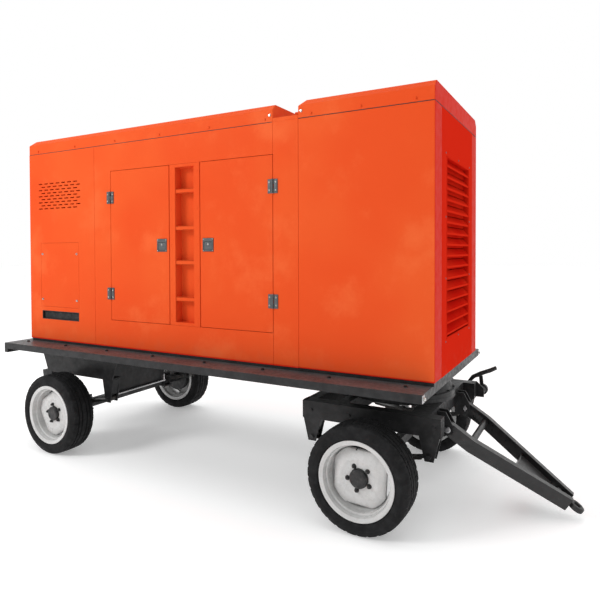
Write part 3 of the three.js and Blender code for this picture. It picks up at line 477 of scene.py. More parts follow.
def worn_finish(name, base, other, roughness, metallic=0.0, dust=0.3, dust_and_top_light_tone=(0.24, 0.23, 0.22), grain=160,
                relief=0.12, coat=0.0, top_dust_and_light=0.0, specular=0.5):
    """Paint, metal or plastic in use: two close tones, a fine grain, dust lying on it, and on faces that look up a
    lighter tone that is part dust and part painted light from above.
    """
    g = Graph(name)
    tone = g.mix(g.range(g.noise(11, 5), 0.35, 0.7), base, other)
    dust_and_top_light_share = g.range(g.noise(26, 6, 0.65), 0.42, 0.78, 0, dust)
    # Painted light: faces that look up turn lighter, part dust and part light from above.
    if top_dust_and_light:
        up = g.maths(
            "MULTIPLY", g.range(g.facing_up(), 0.6, 0.95),
            g.range(g.noise(7, 5), 0.2, 0.8, 0.5 * top_dust_and_light, top_dust_and_light),
        )
        dust_and_top_light_share = g.maths("MAXIMUM", dust_and_top_light_share, up)
    tone = g.mix(dust_and_top_light_share, tone, dust_and_top_light_tone)
    scratches = g.noise(90, 3, 0.7, g.stretched((1, 0.08, 1)))
    tone = g.mix(g.range(scratches, 0.68, 0.74, 0, 0.3), tone, tuple(min(1, c * 2.2 + 0.05) for c in base))
    rough = g.range(g.noise(34, 5), 0.3, 0.75, max(0.05, roughness - 0.1), min(1, roughness + 0.12))
    normal = g.bump(g.noise(grain, 4, 0.6), relief, 0.0012)
    return g.done(tone, rough, metallic, normal, coat, 0.2, specular)


def tyre_finish():
    """Black rubber with a little grey dust."""
    g = Graph("tyre")
    tone = g.mix(g.range(g.noise(16, 5), 0.35, 0.75), (0.007, 0.007, 0.0075), (0.014, 0.014, 0.015))
    dust = g.range(g.noise(38, 6, 0.7), 0.48, 0.8, 0, 0.16)
    tone = g.mix(dust, tone, (0.09, 0.085, 0.08))
    normal = g.bump(g.noise(300, 3), 0.25, 0.001)
    return g.done(tone, g.range(g.noise(20, 3), 0.3, 0.7, 0.72, 0.9), 0, normal, 0, 0.1, 0.2)


def foam_finish():
    """Open-cell acoustic foam with a soft pyramid relief."""
    g = Graph("foam")
    tone = g.mix(g.noise(60, 5), (0.018, 0.018, 0.02), (0.05, 0.05, 0.052))
    normal = g.bump(g.cells(34), 0.8, 0.006, g.bump(g.noise(700, 2), 0.5, 0.001))
    return g.done(tone, 0.95, 0, normal, 0, 0.1, 0.2)


def fins_finish():
    """A radiator core's rows of thin fins."""
    g = Graph("core_fins")
    wave = g.node("ShaderNodeTexWave", bands_direction="Z")
    g.feed(wave.inputs["Vector"], g.place)
    wave.inputs["Scale"].default_value = 95
    tone = g.mix(wave.outputs["Fac"], (0.008, 0.008, 0.009), (0.11, 0.11, 0.115))
    normal = g.bump(wave.outputs["Fac"], 0.7, 0.002)
    return g.done(tone, 0.5, 0.6, normal)


def glass_finish():
    """A smoked acrylic window with light handling marks."""
    g = Graph("window_glass")
    tone = g.mix(g.noise(8, 4), (0.015, 0.017, 0.02), (0.035, 0.038, 0.042))
    return g.done(tone, g.range(g.noise(40, 5), 0.4, 0.8, 0.05, 0.22), 0, None, 0.6, 0.05, 0.6)


ORANGE = (0.74, 0.098, 0.023)
# Painted shade: a deeper, redder copy of the orange for the front end and the foot line.
PAINTED_SHADE_RED = (0.66, 0.022, 0.008)
FINISHES = {
    "canopy_paint": canopy_finish(
        "canopy_paint", ORANGE, (0.8, 0.15, 0.045), (0.72, 0.078, 0.018), PAINTED_SHADE_RED, 0.012,
    ),
    # The front paint is a painted-shade copy of the canopy paint, for faces that look forward.
    "front_paint": canopy_finish(
        "front_paint", PAINTED_SHADE_RED, (0.7, 0.034, 0.012), (0.58, 0.008, 0.004), PAINTED_SHADE_RED, 0.0,
    ),
    # Its lighter tops are part dust, part painted light from above.
    "chassis_paint": worn_finish(
        "chassis_paint", (0.01, 0.01, 0.0105), (0.02, 0.02, 0.021), 0.42, 0, 0.1, top_dust_and_light=0.62,
        dust_and_top_light_tone=(0.13, 0.13, 0.13), specular=0.25,
    ),
    # Its lighter tops are part dust, part painted light from above.
    "drawbar_paint": worn_finish(
        "drawbar_paint", (0.005, 0.005, 0.0055), (0.01, 0.01, 0.0105), 0.36, 0, 0.05, top_dust_and_light=0.3,
        dust_and_top_light_tone=(0.16, 0.155, 0.15),
    ),
    "wheel_paint": worn_finish(
        "wheel_paint", (0.56, 0.56, 0.555), (0.5, 0.5, 0.495), 0.3, 0, 0.16, (0.36, 0.32, 0.27), 220,
        0.06, 0.2,
    ),
    "tyre": tyre_finish(),
    "dark_casting": worn_finish(
        "dark_casting", (0.012, 0.012, 0.013), (0.028, 0.028, 0.029), 0.5, 0.3, 0.2, grain=240,
        relief=0.35,
    ),
    "bare_steel": worn_finish(
        "bare_steel", (0.5, 0.5, 0.51), (0.38, 0.38, 0.39), 0.34, 1, 0.12, grain=400, relief=0.1,
    ),
    "spring_steel": worn_finish(
        "spring_steel", (0.02, 0.02, 0.02), (0.045, 0.04, 0.037), 0.5, 0.3, 0.35, (0.12, 0.09, 0.07),
        200, 0.2,
    ),
    "hardware_grey": worn_finish(
        "hardware_grey", (0.075, 0.082, 0.088), (0.1, 0.108, 0.112), 0.42, 0.4, 0.15, grain=320,
        relief=0.2,
    ),
    "bolt_zinc": worn_finish(
        "bolt_zinc", (0.6, 0.6, 0.58), (0.46, 0.45, 0.42), 0.3, 1, 0.1, grain=500, relief=0.1,
    ),
    "seal_rubber": worn_finish(
        "seal_rubber", (0.012, 0.012, 0.012), (0.02, 0.02, 0.02), 0.8, 0, 0.15, grain=300,
    ),
    "engine_paint": worn_finish(
        "engine_paint", (0.08, 0.12, 0.105), (0.06, 0.095, 0.082), 0.45, 0.1, 0.25, (0.06, 0.055, 0.05),
        180, 0.25,
    ),
    "alternator_paint": worn_finish(
        "alternator_paint", (0.035, 0.09, 0.15), (0.028, 0.075, 0.125), 0.42, 0.1, 0.2, grain=180,
        relief=0.2,
    ),
    "radiator_black": worn_finish(
        "radiator_black", (0.014, 0.015, 0.015), (0.025, 0.026, 0.026), 0.5, 0.2, 0.2,
    ),
    "fan_plastic": worn_finish(
        "fan_plastic", (0.025, 0.025, 0.026), (0.035, 0.035, 0.036), 0.5, 0, 0.3, grain=350,
    ),
    "muffler_steel": worn_finish(
        "muffler_steel", (0.3, 0.28, 0.25), (0.2, 0.17, 0.14), 0.5, 0.9, 0.3, (0.2, 0.11, 0.06), 260,
        0.25,
    ),
    "battery_case": worn_finish(
        "battery_case", (0.01, 0.01, 0.011), (0.018, 0.018, 0.019), 0.4, 0, 0.15, grain=300,
    ),
    "panel_grey": worn_finish("panel_grey", (0.52, 0.54, 0.52), (0.46, 0.48, 0.46), 0.45, 0, 0.1, grain=350),
    "stop_red": worn_finish(
        "stop_red", (0.55, 0.012, 0.01), (0.48, 0.01, 0.008), 0.3, 0, 0.08, grain=300, coat=0.3,
    ),
    "foam": foam_finish(),
    "core_fins": fins_finish(),
    "window_glass": glass_finish(),
}


def dress_cad():
    """Every node that stays on show gets its slot's finish."""
    slots = {row["node"]: row["material_slot"] for row in frame["record"]["subparts"]}
    for name, obj in frame["nodes"].items():
        obj.data.materials.clear()
        obj.data.materials.append(FINISHES[slots[name]])


# ---- Camera, light and floor (metres) ----
CAMERA_PLACE = (2.2037, -3.5424, 1.5762)
CAMERA_TURNS = (28.779, 1.035, -0.182)  # azimuth, tilt down and roll, in degrees
CAMERA_LENS = 32.45
CAMERA_SHIFT = -0.0642
KEY_WATTS = 400
TOP_WATTS = 200
FLOOR_GLOW = 0.28
FLOOR_REACH = 60.0


def add_camera():
    """The camera, with its lens shifted down."""
    place = Vector(CAMERA_PLACE)
    azimuth, down, roll = (math.radians(a) for a in CAMERA_TURNS)
    ahead = Vector(
        (-math.sin(azimuth) * math.cos(down), math.cos(azimuth) * math.cos(down), -math.sin(down))
    )
    level = Vector((math.cos(azimuth), math.sin(azimuth), 0))
    up = level.cross(ahead)
    right = math.cos(roll) * level + math.sin(roll) * up
    top = -math.sin(roll) * level + math.cos(roll) * up
    camera = bpy.data.cameras.new("camera")
    camera.lens = CAMERA_LENS
    camera.sensor_width = 36
    camera.shift_y = CAMERA_SHIFT
    camera.clip_start = 0.05
    camera.clip_end = 200
    obj = bpy.data.objects.new("camera", camera)
    turn = Matrix((right, top, -ahead)).transposed().to_4x4()
    obj.matrix_world = Matrix.Translation(place) @ turn
    bpy.context.scene.collection.objects.link(obj)
    bpy.context.scene.camera = obj


def add_area(name, place, target, size, watts, colour=(1, 1, 1)):
    """A rectangular lamp that faces a target."""
    lamp = bpy.data.lights.new(name, "AREA")
    lamp.shape = "RECTANGLE"
    lamp.size, lamp.size_y = size
    lamp.energy = watts
    lamp.color = colour
    obj = bpy.data.objects.new(name, lamp)
    aim = (Vector(target) - Vector(place)).normalized()
    obj.matrix_world = Matrix.Translation(place) @ aim.to_track_quat("-Z", "Y").to_matrix().to_4x4()
    bpy.context.scene.collection.objects.link(obj)


def add_studio():
    """A white world, dimmer behind the camera, with a key lamp and a top lamp."""
    scene = bpy.context.scene
    scene.view_settings.view_transform = "Standard"
    scene.view_settings.look = "None"
    world = bpy.data.worlds.new("studio")
    world.use_nodes = True
    background = world.node_tree.nodes["Background"]
    background.inputs["Color"].default_value = (1, 1, 1, 1)
    tree = world.node_tree
    direction = tree.nodes.new("ShaderNodeTexCoord")
    split = tree.nodes.new("ShaderNodeSeparateXYZ")
    tree.links.new(direction.outputs["Generated"], split.inputs[0])
    ramp = tree.nodes.new("ShaderNodeMapRange")
    for key, number in (("From Min", -0.25), ("From Max", 0.12), ("To Min", 0.5), ("To Max", 1.0)):
        ramp.inputs[key].default_value = number
    tree.links.new(split.outputs["Y"], ramp.inputs["Value"])
    tree.links.new(ramp.outputs["Result"], background.inputs["Strength"])
    scene.world = world
    add_area("key", (-5.2, -7.0, 5.6), (-0.4, 0, 1.0), (3.0, 2.4), KEY_WATTS)
    add_area("top", (0, 0, 8.5), (0, 0, 0), (9.0, 9.0), TOP_WATTS)


def add_floor():
    """A wide pale floor with a faint glow of its own, so that it blends with the backdrop."""
    g = Graph("floor")
    tone = g.mix(g.noise(0.8, 4), (0.9, 0.9, 0.9), (0.94, 0.94, 0.94))
    g.done(
        tone, g.range(g.noise(5, 4), 0.3, 0.7, 0.7, 0.85), 0, g.bump(g.noise(180, 3), 0.05, 0.001), 0,
        0.1, 0.2,
    )
    g.shader.inputs["Emission Color"].default_value = (1, 1, 1, 1)
    g.shader.inputs["Emission Strength"].default_value = FLOOR_GLOW
    mesh = bpy.data.meshes.new("floor")
    corners = [(u * FLOOR_REACH, v * FLOOR_REACH, 0) for u, v in ((-1, -1), (1, -1), (1, 1), (-1, 1))]
    mesh.from_pydata(corners, [], [(0, 1, 2, 3)])
    mesh.materials.append(g.material)
    floor = bpy.data.objects.new("floor", mesh)
    bpy.context.scene.collection.objects.link(floor)


# ---- Fasteners ----
def bolt(size, head, washer=0.0):
    """A hexagon head on its washer, standing on Z = 0."""
    made = Shape()
    if washer:
        made.lathe([(0, 0), (washer, 0), (washer, 1.2), (washer - 0.8, 2), (0, 2)], None, 24, closed=False)
    base = 2 if washer else 0
    across = size / math.sqrt(3)
    ring = [(across * math.cos(math.pi * k / 3), across * math.sin(math.pi * k / 3)) for k in range(6)]
    made.prism(ring, "Z", base, base + head, size * 0.06)
    return made


def dome_screw(radius):
    """A pan head with a cross slot, standing on Z = 0."""
    rise = radius * 0.55
    profile = [
        (0, rise), (radius * 0.45, rise * 0.95), (radius * 0.8, rise * 0.65), (radius, rise * 0.15),
        (radius, 0), (0, 0),
    ]
    made = Shape().lathe(profile, None, 20, closed=False)
    slot = Shape()
    for turn in (0, math.pi / 2):
        slot.box(
            (-radius * 0.5, radius * 0.5), (-radius * 0.1, radius * 0.1), (rise * 0.55, rise * 2),
            turn=Matrix.Rotation(turn, 4, "Z"),
        )
    return carve(made, slot)


def out_of_side(side, x, z, out=0.0):
    """The place and turn of something that stands on a side wall and faces out."""
    return stand((x, side * (HALF + out), z), (0, side, 0))


def fix_row(shape, fastener, matrices):
    """A fastener at each of the places."""
    for matrix in matrices:
        shape.stamp(fastener, matrix)
    return shape


dress_cad()
add_camera()
add_studio()
add_floor()

PAN = dome_screw(6)
PAN_SMALL = dome_screw(4)
HEX_8 = bolt(13, 5.5, 9)
HEX_12 = bolt(19, 8, 13)
HEX_16 = bolt(24, 10, 16)

# ---- Canopy walls ----
COVER_LOW, COVER_HIGH = span("terminal_cover")
OUTLET = (REAR + 154, REAR + 607, BASE + 173, BASE + 244)  # the cable outlet's ends and edges
VENT = {
    "rows": 9, "slots": 7, "pitch": 72, "row_pitch": 26, "length": 50, "height": 9, "x": REAR + 117,
    "z": BASE + 1102,
}


def across(side, *depths):
    """Places measured inwards from a side wall's face."""
    return [side * (HALF - d) for d in depths]


def vent_slots(side):
    """Nine staggered rows of round-ended slots, as cutters."""
    tools = Shape()
    r = VENT["height"] / 2
    flat = VENT["length"] / 2 - r
    outline = [(flat + r * math.sin(a), r * math.cos(a)) for a in (math.pi * k / 5 for k in range(6))]
    outline += [(-u, -v) for u, v in outline]
    for row in range(VENT["rows"]):
        shift = VENT["pitch"] / 2 if row % 2 else 0
        z = VENT["z"] + row * VENT["row_pitch"]
        for k in range(VENT["slots"]):
            x = VENT["x"] + VENT["length"] / 2 + k * VENT["pitch"] + shift
            placed = [(z + v, x + u) for u, v in outline]
            tools.prism(placed, "Y", *sorted(across(side, -5, WALL + 5)))
    return tools


def side_wall(side, name):
    """A side wall with its vents, door bay and panel joints."""
    body = Shape().box((REAR, PANEL_REAR - 0.4), across(side, 0, WALL), (BASE, WALL_TOP))
    bay = (REAR_HINGE.x, FRONT_HINGE.x)
    tools = vent_slots(side)
    tools.box(bay, across(side, -5, WALL + 5), (DOOR_LOW - 0.4, DOOR_HIGH + 0.4))
    for x in (FRONT_HINGE.x, REAR_HINGE.x - 180):
        tools.box((x - 1.2, x + 1.2), across(side, -5, 2.2), (BASE - 5, WALL_TOP + 5))
    if side == RIGHT:
        edge = 1.5
        tools.box(
            (
                COVER_LOW.x - edge, COVER_HIGH.x + edge,
            ), across(side, -5, 5), (COVER_LOW.z - edge, COVER_HIGH.z + edge)
        )
        tools.box(
            (
                COVER_LOW.x + 20, COVER_HIGH.x - 20,
            ), across(side, 4, WALL + 5), (COVER_LOW.z + 20, COVER_HIGH.z - 20)
        )
        tools.box(OUTLET[:2], across(side, -5, WALL + 5), OUTLET[2:])
    wall = carve(body, tools)
    wall.soften(1.4, 2, 50)
    piece(wall, f"side_wall_{name}", "chassis", "canopy_paint", [f"side_frame_{name}"])
    mesh_back(side, name)


def mesh_back(side, name):
    """Fine wire gauze behind the vent slots."""
    gauze = Shape()
    x0 = VENT["x"] - 10
    x1 = x0 + VENT["pitch"] * VENT["slots"] + 50
    z0 = VENT["z"] - 15
    z1 = z0 + VENT["row_pitch"] * VENT["rows"] + 8
    y = across(side, WALL + 1.5)[0]
    for k in range(int((x1 - x0) / 12)):
        gauze.rod((x0 + 12 * k, y, z0), (x0 + 12 * k, y, z1), 0.8, 6, 0.2)
    for k in range(int((z1 - z0) / 12)):
        gauze.rod((x0, y, z0 + 12 * k), (x1, y, z0 + 12 * k), 0.8, 6, 0.2)
    piece(gauze, f"vent_gauze_{name}", "chassis", "radiator_black")


def front_side_panel(name):
    """The solid panel beside the radiator outlet."""
    body = from_cad(f"front_side_panel_{name}")
    body.soften(5, 3, flatten=True)
    piece(body, f"corner_panel_{name}", "chassis", "canopy_paint", [f"front_side_panel_{name}"])


def terminal_parts():
    """The terminal cover with its screws, and the cable outlet's edging and flap."""
    cover = Shape().box((COVER_LOW.x, COVER_HIGH.x), across(RIGHT, 0, 4), (COVER_LOW.z, COVER_HIGH.z), 1.2, 2)
    piece(cover, "terminal_plate", "chassis", "canopy_paint", ["terminal_cover"])
    inset = 22
    spots = [
        out_of_side(RIGHT, x, z)
        for x in (COVER_LOW.x + inset, COVER_HIGH.x - inset)
        for z in (COVER_LOW.z + 60, COVER_HIGH.z - 92)
    ]
    screws = fix_row(Shape(), HEX_8, spots)
    piece(screws, "terminal_screws", "chassis", "bolt_zinc")
    lip = Shape()
    x0, x1, z0, z1 = OUTLET
    for x in ((x0, x0 + 5), (x1 - 5, x1)):
        lip.box(x, across(RIGHT, -2, WALL - 2), (z0, z1), 1.5)
    for z in ((z0, z0 + 5), (z1 - 5, z1)):
        lip.box((x0, x1), across(RIGHT, -2, WALL - 2), z, 1.5)
    piece(lip, "outlet_edging", "chassis", "seal_rubber")
    brush = Shape()
    for k in range(int((x1 - x0 - 14) / 6)):
        x = x0 + 8 + 6 * k
        brush.box((x, x + 5.2), across(RIGHT, 16, 19), (z0 + 5, z1 - 5), 0.6, 1)
    piece(brush, "outlet_flap", "chassis", "seal_rubber")


# ---- Service doors ----
def door_frame_x(place):
    """The hinge line, the free edge and the way from one to the other."""
    hinge = FRONT_HINGE.x if place == "front" else REAR_HINGE.x
    free = STEP_HIGH.x + SHUT_GAP if place == "front" else STEP_LOW.x - SHUT_GAP
    return hinge, free, (1 if free > hinge else -1)


def service_door(place, side, name):
    """A door: folded panel, foam lining, straps and seal."""
    hinge, free, away = door_frame_x(place)
    body_name = f"{place}_{name}_door"
    x = (hinge + away * SHUT_GAP, free - away * SHUT_GAP)
    z = (DOOR_LOW - 0.4 + SHUT_GAP, DOOR_HIGH + 0.4 - SHUT_GAP)
    slab = Shape().box(x, across(side, 0, WALL - 2), z)
    low, high = span(f"{place}_door_lock_{name}")
    tools = Shape().box((low.x - 1, high.x + 1), across(side, -5, 11), (low.z - 1, high.z + 1))
    rim = 34
    inner = (min(x) + rim, max(x) - rim)
    tools.box(inner, across(side, 16, WALL + 5), (z[0] + rim, z[1] - rim))
    door = carve(slab, tools)
    door.soften(2.2, 3, 50)
    piece(door, f"{place}_door_panel_{name}", body_name, "canopy_paint", [f"{place}_door_{name}"])
    foam = Shape().box(
        (inner[0] + 2, inner[1] - 2), across(side, 16.5, WALL - 8), (z[0] + rim + 2, z[1] - rim - 2), 6,
        3,
    )
    piece(foam, f"{place}_door_foam_{name}", body_name, "foam")
    straps = Shape()
    for share in (0.2, 0.5, 0.8):
        at = z[0] + share * (z[1] - z[0])
        straps.box((inner[0] - 6, inner[1] + 6), across(side, WALL - 7, WALL - 4), (at - 14, at + 14), 1)
        for spot in (inner[0] + 4, inner[1] - 4):
            straps.stamp(PAN_SMALL, stand((spot, across(side, WALL - 4)[0], at), (0, -side, 0)))
    piece(straps, f"{place}_door_straps_{name}", body_name, "bare_steel")
    seal = Shape()
    out = 12
    y = across(side, WALL - 4)[0]
    corners = [
        (min(x) + out, z[0] + out), (max(x) - out, z[0] + out), (max(x) - out, z[1] - out),
        (min(x) + out, z[1] - out),
    ]
    for (xa, za), (xb, zb) in zip(corners, corners[1:] + corners[:1]):
        seal.rod((xa, y, za), (xb, y, zb), 5.5, 12, 2)
    piece(seal, f"{place}_door_seal_{name}", body_name, "seal_rubber")


def hinges(place, side, name):
    """Cast surface hinges: two leaves, three knuckles, a pin and four bright screws each."""
    hinge, _, away = door_frame_x(place)
    reach = 37
    half = 46
    out = abs(FRONT_HINGE.y) - HALF
    third = half / 3
    low, high = span(f"{place}_door_{name}")
    middle = (low.z + high.z) / 2
    fixed, moving, screws, moving_screws, pins = Shape(), Shape(), Shape(), Shape(), Shape()
    for level in (middle - 371, middle + 371):
        for leaf, toward, spans in (
            (fixed, -away, ((-half, -third - 0.3), (third + 0.3, half))),
            (moving, away, ((-third + 0.3, third - 0.3),)),
        ):
            xs = (hinge + toward * (out + 0.4), hinge + toward * reach)
            leaf.box(xs, across(side, 0, -5), (level - half, level + half), 1.6, 3)
            pad = (hinge + toward * 14, hinge + toward * (reach - 5))
            leaf.box(pad, across(side, -4, -7), (level - half + 7, level + half - 7), 1.4, 2)
            for z0, z1 in spans:
                leaf.rod(
                    (hinge, side * (HALF + out), level + z0), (hinge, side * (HALF + out), level + z1),
                    6.8, 24, 0.8,
                )
                web = (hinge, hinge + toward * 13)
                leaf.box(web, across(side, -1, -6.5), (level + z0, level + z1), 0.8)
        for toward, target in ((-away, screws), (away, moving_screws)):
            for rise in (-26, 26):
                target.stamp(PAN, out_of_side(side, hinge + toward * 24, level + rise, 6.8))
        pins.rod(
            (hinge, side * (HALF + out), level - half - 2),
            (hinge, side * (HALF + out), level + half + 2), 3.4, 16, 1,
        )
    piece(fixed, f"{place}_hinge_fixed_{name}", "chassis", "hardware_grey")
    piece(moving, f"{place}_hinge_leaf_{name}", f"{place}_{name}_door", "hardware_grey")
    piece(screws, f"{place}_hinge_screws_{name}", "chassis", "bolt_zinc")
    piece(moving_screws, f"{place}_leaf_screws_{name}", f"{place}_{name}_door", "bolt_zinc")
    piece(pins, f"{place}_hinge_pins_{name}", "chassis", "bolt_zinc")


def paddle_lock(place, side, name):
    """A flush paddle handle in a dished plate, with a key barrel."""
    low, high = span(f"{place}_door_lock_{name}")
    cx, cz = (low.x + high.x) / 2, (low.z + high.z) / 2
    half = (high.x - low.x) / 2
    lock_body = f"{place}_{name}_lock"
    plate = Shape().box((cx - half, cx + half), across(side, -4, 9), (cz - half, cz + half))
    dish = Shape().box((cx - half + 9, cx + half - 9), across(side, -8, 4), (cz - half + 9, cz + half - 24))
    made = carve(plate, dish)
    made.soften(2.6, 3, 50)
    grip = across(side, -1.5, 3.9)
    made.box((cx - half + 11, cx + half - 11), grip, (cz - half + 12, cz + half - 30), 2, 2)
    made.lathe(
        [(0, 3), (9, 3), (11.5, 1.5), (12, 0), (12, -8), (0, -8)],
        stand((cx, side * (HALF + 0.6), cz + 4), (0, side, 0)),
        28,
        closed=False,
    )
    piece(made, f"{place}_lock_plate_{name}", lock_body, "hardware_grey", [f"{place}_door_lock_{name}"])
    key = Shape()
    barrel = [(0, 1.6), (5.6, 1.6), (6.6, 0.8), (6.6, -3), (0, -3)]
    place_at = stand((cx, side * (HALF + 3.4), cz + 4), (0, side, 0))
    key.lathe(barrel, place_at, 24, closed=False)
    slot = Shape().box((-0.8, 0.8), (-3.6, 3.6), (0.6, 4), turn=place_at)
    keyed = carve(key, slot)
    for dx in (-half + 6.5, half - 6.5):
        for dz in (-half + 6.5, half - 6.5):
            keyed.stamp(PAN_SMALL, out_of_side(side, cx + dx, cz + dz, 3.6))
    piece(keyed, f"{place}_lock_key_{name}", lock_body, "bolt_zinc")


def step_column(side, name):
    """The fixed column between the doors, a folded recess with four rungs."""
    low, high = span(f"step_column_{name}")
    x0, x1 = low.x, high.x
    middle = (x0 + x1) / 2
    half = 84.5
    depth = 70
    block = Shape().box((x0, x1), across(side, 0, depth + 5), (low.z, high.z))
    pocket = Shape().box((middle - half, middle + half), across(side, -5, depth), (low.z + 22, high.z - 22))
    column = carve(block, pocket)
    column.soften(2.5, 3, 50)
    for height in (190, 452, 698, 962):
        z = DOOR_LOW - 0.4 + height
        column.box((middle - half - 2, middle + half + 2), across(side, 6, 36), (z - 15, z - 11), 1.2)
        column.box((middle - half - 2, middle + half + 2), across(side, 6, 36), (z + 9, z + 15), 2)
        column.box((middle - half - 2, middle + half + 2), across(side, 6, 10), (z - 15, z + 15), 1.5)
        for k in range(9):
            x = middle - 68 + 17 * k
            column.lathe(
                [(0, 1.6), (3.4, 1.4), (5, 0), (0, 0)],
                Matrix.Translation((x, across(side, 22)[0], z + 14.6)),
                12,
                closed=False,
            )
    piece(column, f"step_recess_{name}", "chassis", "canopy_paint", [f"step_column_{name}"])
    screws = Shape()
    for height in (60, 330, 580, 830, 1090):
        screws.stamp(PAN_SMALL, out_of_side(side, x0 + 16, low.z + height))
        screws.stamp(PAN_SMALL, out_of_side(side, x1 - 16, low.z + height))
    piece(screws, f"step_screws_{name}", "chassis", "canopy_paint")


# ---- Louvred front ----
def louvre_front():
    """The front panel: frame, blades, guard, screws and bead."""
    low, high = span("front_louvre_panel")
    half, base = 307, BASE + 219
    height = 1072
    plate = Shape().box((FRONT - WALL, FRONT), (low.y, high.y), (low.z, high.z))
    opening = Shape().box((FRONT - WALL - 5, FRONT + 5), (-half, half), (base, base + height))
    frame_plate = carve(plate, opening)
    frame_plate.soften(2, 2, 50)
    # The frame, blades and bead take the front paint, a painted-shade copy of the orange.
    piece(frame_plate, "louvre_frame", "chassis", "front_paint", ["front_louvre_panel"])
    blades = Shape()
    count = 16
    pitch = height / count
    for i in range(count):
        z = base + i * pitch
        profile = [
            (z + pitch * 0.95, FRONT - WALL + 3),
            (z + pitch * 0.36, FRONT - 4),
            (z + pitch * 0.36, FRONT - 0.5),
            (z + pitch * 0.36 - 13, FRONT - 0.5),
            (z + pitch * 0.36 - 13, FRONT - 2.8),
            (z + pitch * 0.36 - 3, FRONT - 2.8),
            (z + pitch * 0.36 - 3, FRONT - 5),
            (z + pitch * 0.95 - 3, FRONT - WALL + 3),
        ]
        blades.prism(profile, "Y", -half + 0.4, half - 0.4, 0.7, 2)
        # Behind each blade a flat strip closes the opening in the same painted shade.
        blades.prism(
            [
                (z + pitch * 0.97, FRONT - WALL + 5),
                (z + pitch * 0.97, FRONT - WALL + 2),
                (z - pitch * 0.1, FRONT - WALL + 2),
                (z - pitch * 0.1, FRONT - WALL + 5),
            ][::-1],
            "Y",
            -half + 0.4,
            half - 0.4,
        )
    for y in (-half, half - 3):
        blades.box((FRONT - WALL + 2, FRONT - 3), (y, y + 3), (base + 1, base + height - 1), 0.8)
    piece(blades, "louvre_blades", "chassis", "front_paint")
    bars = Shape()
    for k in range(24):
        y = -half + 13 + 25.5 * k
        bars.rod((FRONT - WALL + 1, y, base + 4), (FRONT - WALL + 1, y, base + height - 4), 1.1, 6, 0.2)
    for k in range(41):
        z = base + 13 + 26 * k
        bars.rod((FRONT - WALL, -half + 4, z), (FRONT - WALL, half - 4, z), 1.1, 6, 0.2)
    piece(bars, "louvre_guard", "chassis", "radiator_black")
    screws = Shape()
    for y in (-half - 22, 0, half + 22):
        for z in (base - 22, base + height + 22):
            screws.stamp(PAN, Matrix.Translation((FRONT - 0.2, y, z)) @ facing("X"))
    for y in (-half - 22, half + 22):
        for share in (0.33, 0.67):
            screws.stamp(PAN, Matrix.Translation((FRONT - 0.2, y, base + share * height)) @ facing("X"))
    piece(screws, "louvre_screws", "chassis", "hardware_grey")
    frame_bead = Shape()
    for y in (-half - 6, half):
        frame_bead.box((FRONT - 1, FRONT + 2.6), (y, y + 6), (base - 6, base + height + 6), 1.2)
    for z in (base - 6, base + height):
        frame_bead.box((FRONT - 1, FRONT + 2.6), (-half - 6, half + 6), (z, z + 6), 1.2)
    piece(frame_bead, "louvre_bead", "chassis", "front_paint")


# ---- Roof ----
def roof():
    """The covers and recess with their bolts, seal, ribs and lifting lugs' plates."""
    for node, made in (
        ("roof_cover_rear", "rear_roof"), ("roof_cover_front", "front_roof"),
        ("roof_recess", "roof_gutter"),
    ):
        body = from_cad(node)
        body.soften(4 if node != "roof_recess" else 1.5, 3, flatten=True)
        piece(body, made, "chassis", "canopy_paint", [node])
    screws, bright = Shape(), Shape()
    covers = ((REAR + 120, FRONT_HINGE.x - 60, 6), (PANEL_REAR + 90, FRONT - 110, 3))
    for x0, x1, count in covers:
        for k in range(count):
            x = x0 + (x1 - x0) * k / (count - 1)
            for side, _ in SIDES:
                screws.stamp(HEX_8, out_of_side(side, x, WALL_TOP + 22))
    for side, _ in SIDES:
        bright.stamp(HEX_8, out_of_side(side, FRONT_HINGE.x - 22, WALL_TOP + 45))
        bright.stamp(HEX_8, out_of_side(side, PANEL_REAR + 22, WALL_TOP + 45))
    piece(screws, "roof_bolts", "chassis", "canopy_paint")
    seal = Shape()
    for x0, x1 in ((REAR + 4, FRONT_HINGE.x - 4), (PANEL_REAR + 4, FRONT - 4)):
        for side, _ in SIDES:
            seal.box((x0, x1), across(side, 4, -0.5), (WALL_TOP - 2, WALL_TOP + 2), 0.4)
    seal.box((FRONT - 4, FRONT + 0.5), (-HALF + 6, HALF - 6), (WALL_TOP - 2, WALL_TOP + 2), 0.4)
    seal.box((REAR - 0.5, REAR + 4), (-HALF + 6, HALF - 6), (WALL_TOP - 2, WALL_TOP + 2), 0.4)
    piece(seal, "roof_seal", "chassis", "seal_rubber")
    piece(bright, "roof_end_bolts", "chassis", "bolt_zinc")
    ribs = Shape()
    for x0, x1 in ((REAR + 250, FRONT_HINGE.x - 250), (PANEL_REAR + 130, FRONT - 180)):
        for y in (-330, 0, 330):
            ribs.box((x0, x1), (y - 22, y + 22), (ROOF_TOP - 2, ROOF_TOP + 3), 2.4, 3)
    piece(ribs, "roof_ribs", "chassis", "canopy_paint")
    recess_low, recess_high = span("roof_recess")
    floor = WALL_TOP + 24.4
    middle = (recess_low.x + recess_high.x) / 2
    lug_bolts = Shape()
    lug_plate = Shape()
    for side, _ in SIDES:
        y = side * (HALF - 192)
        lug_plate.box((middle - 78, middle + 78), (y - 40, y - 10.5), (floor, floor + 8), 1.5)
        lug_plate.box((middle - 78, middle + 78), (y + 10.5, y + 40), (floor, floor + 8), 1.5)
        for dx in (-58, 58):
            for dy in (-26, 26):
                lug_bolts.stamp(HEX_16, Matrix.Translation((middle + dx, y + dy, floor + 8)))
        ring = [(24.4, -14), (31, -14), (33, -12), (33, -10.2), (24.4, -10.2)]
        for turn in (1, -1):
            lug_plate.lathe(ring, stand((middle, y, floor + 32), (0, turn, 0)), 32)
    piece(lug_plate, "lug_plates", "chassis", "canopy_paint")
    piece(lug_bolts, "lug_bolts", "chassis", "bolt_zinc")


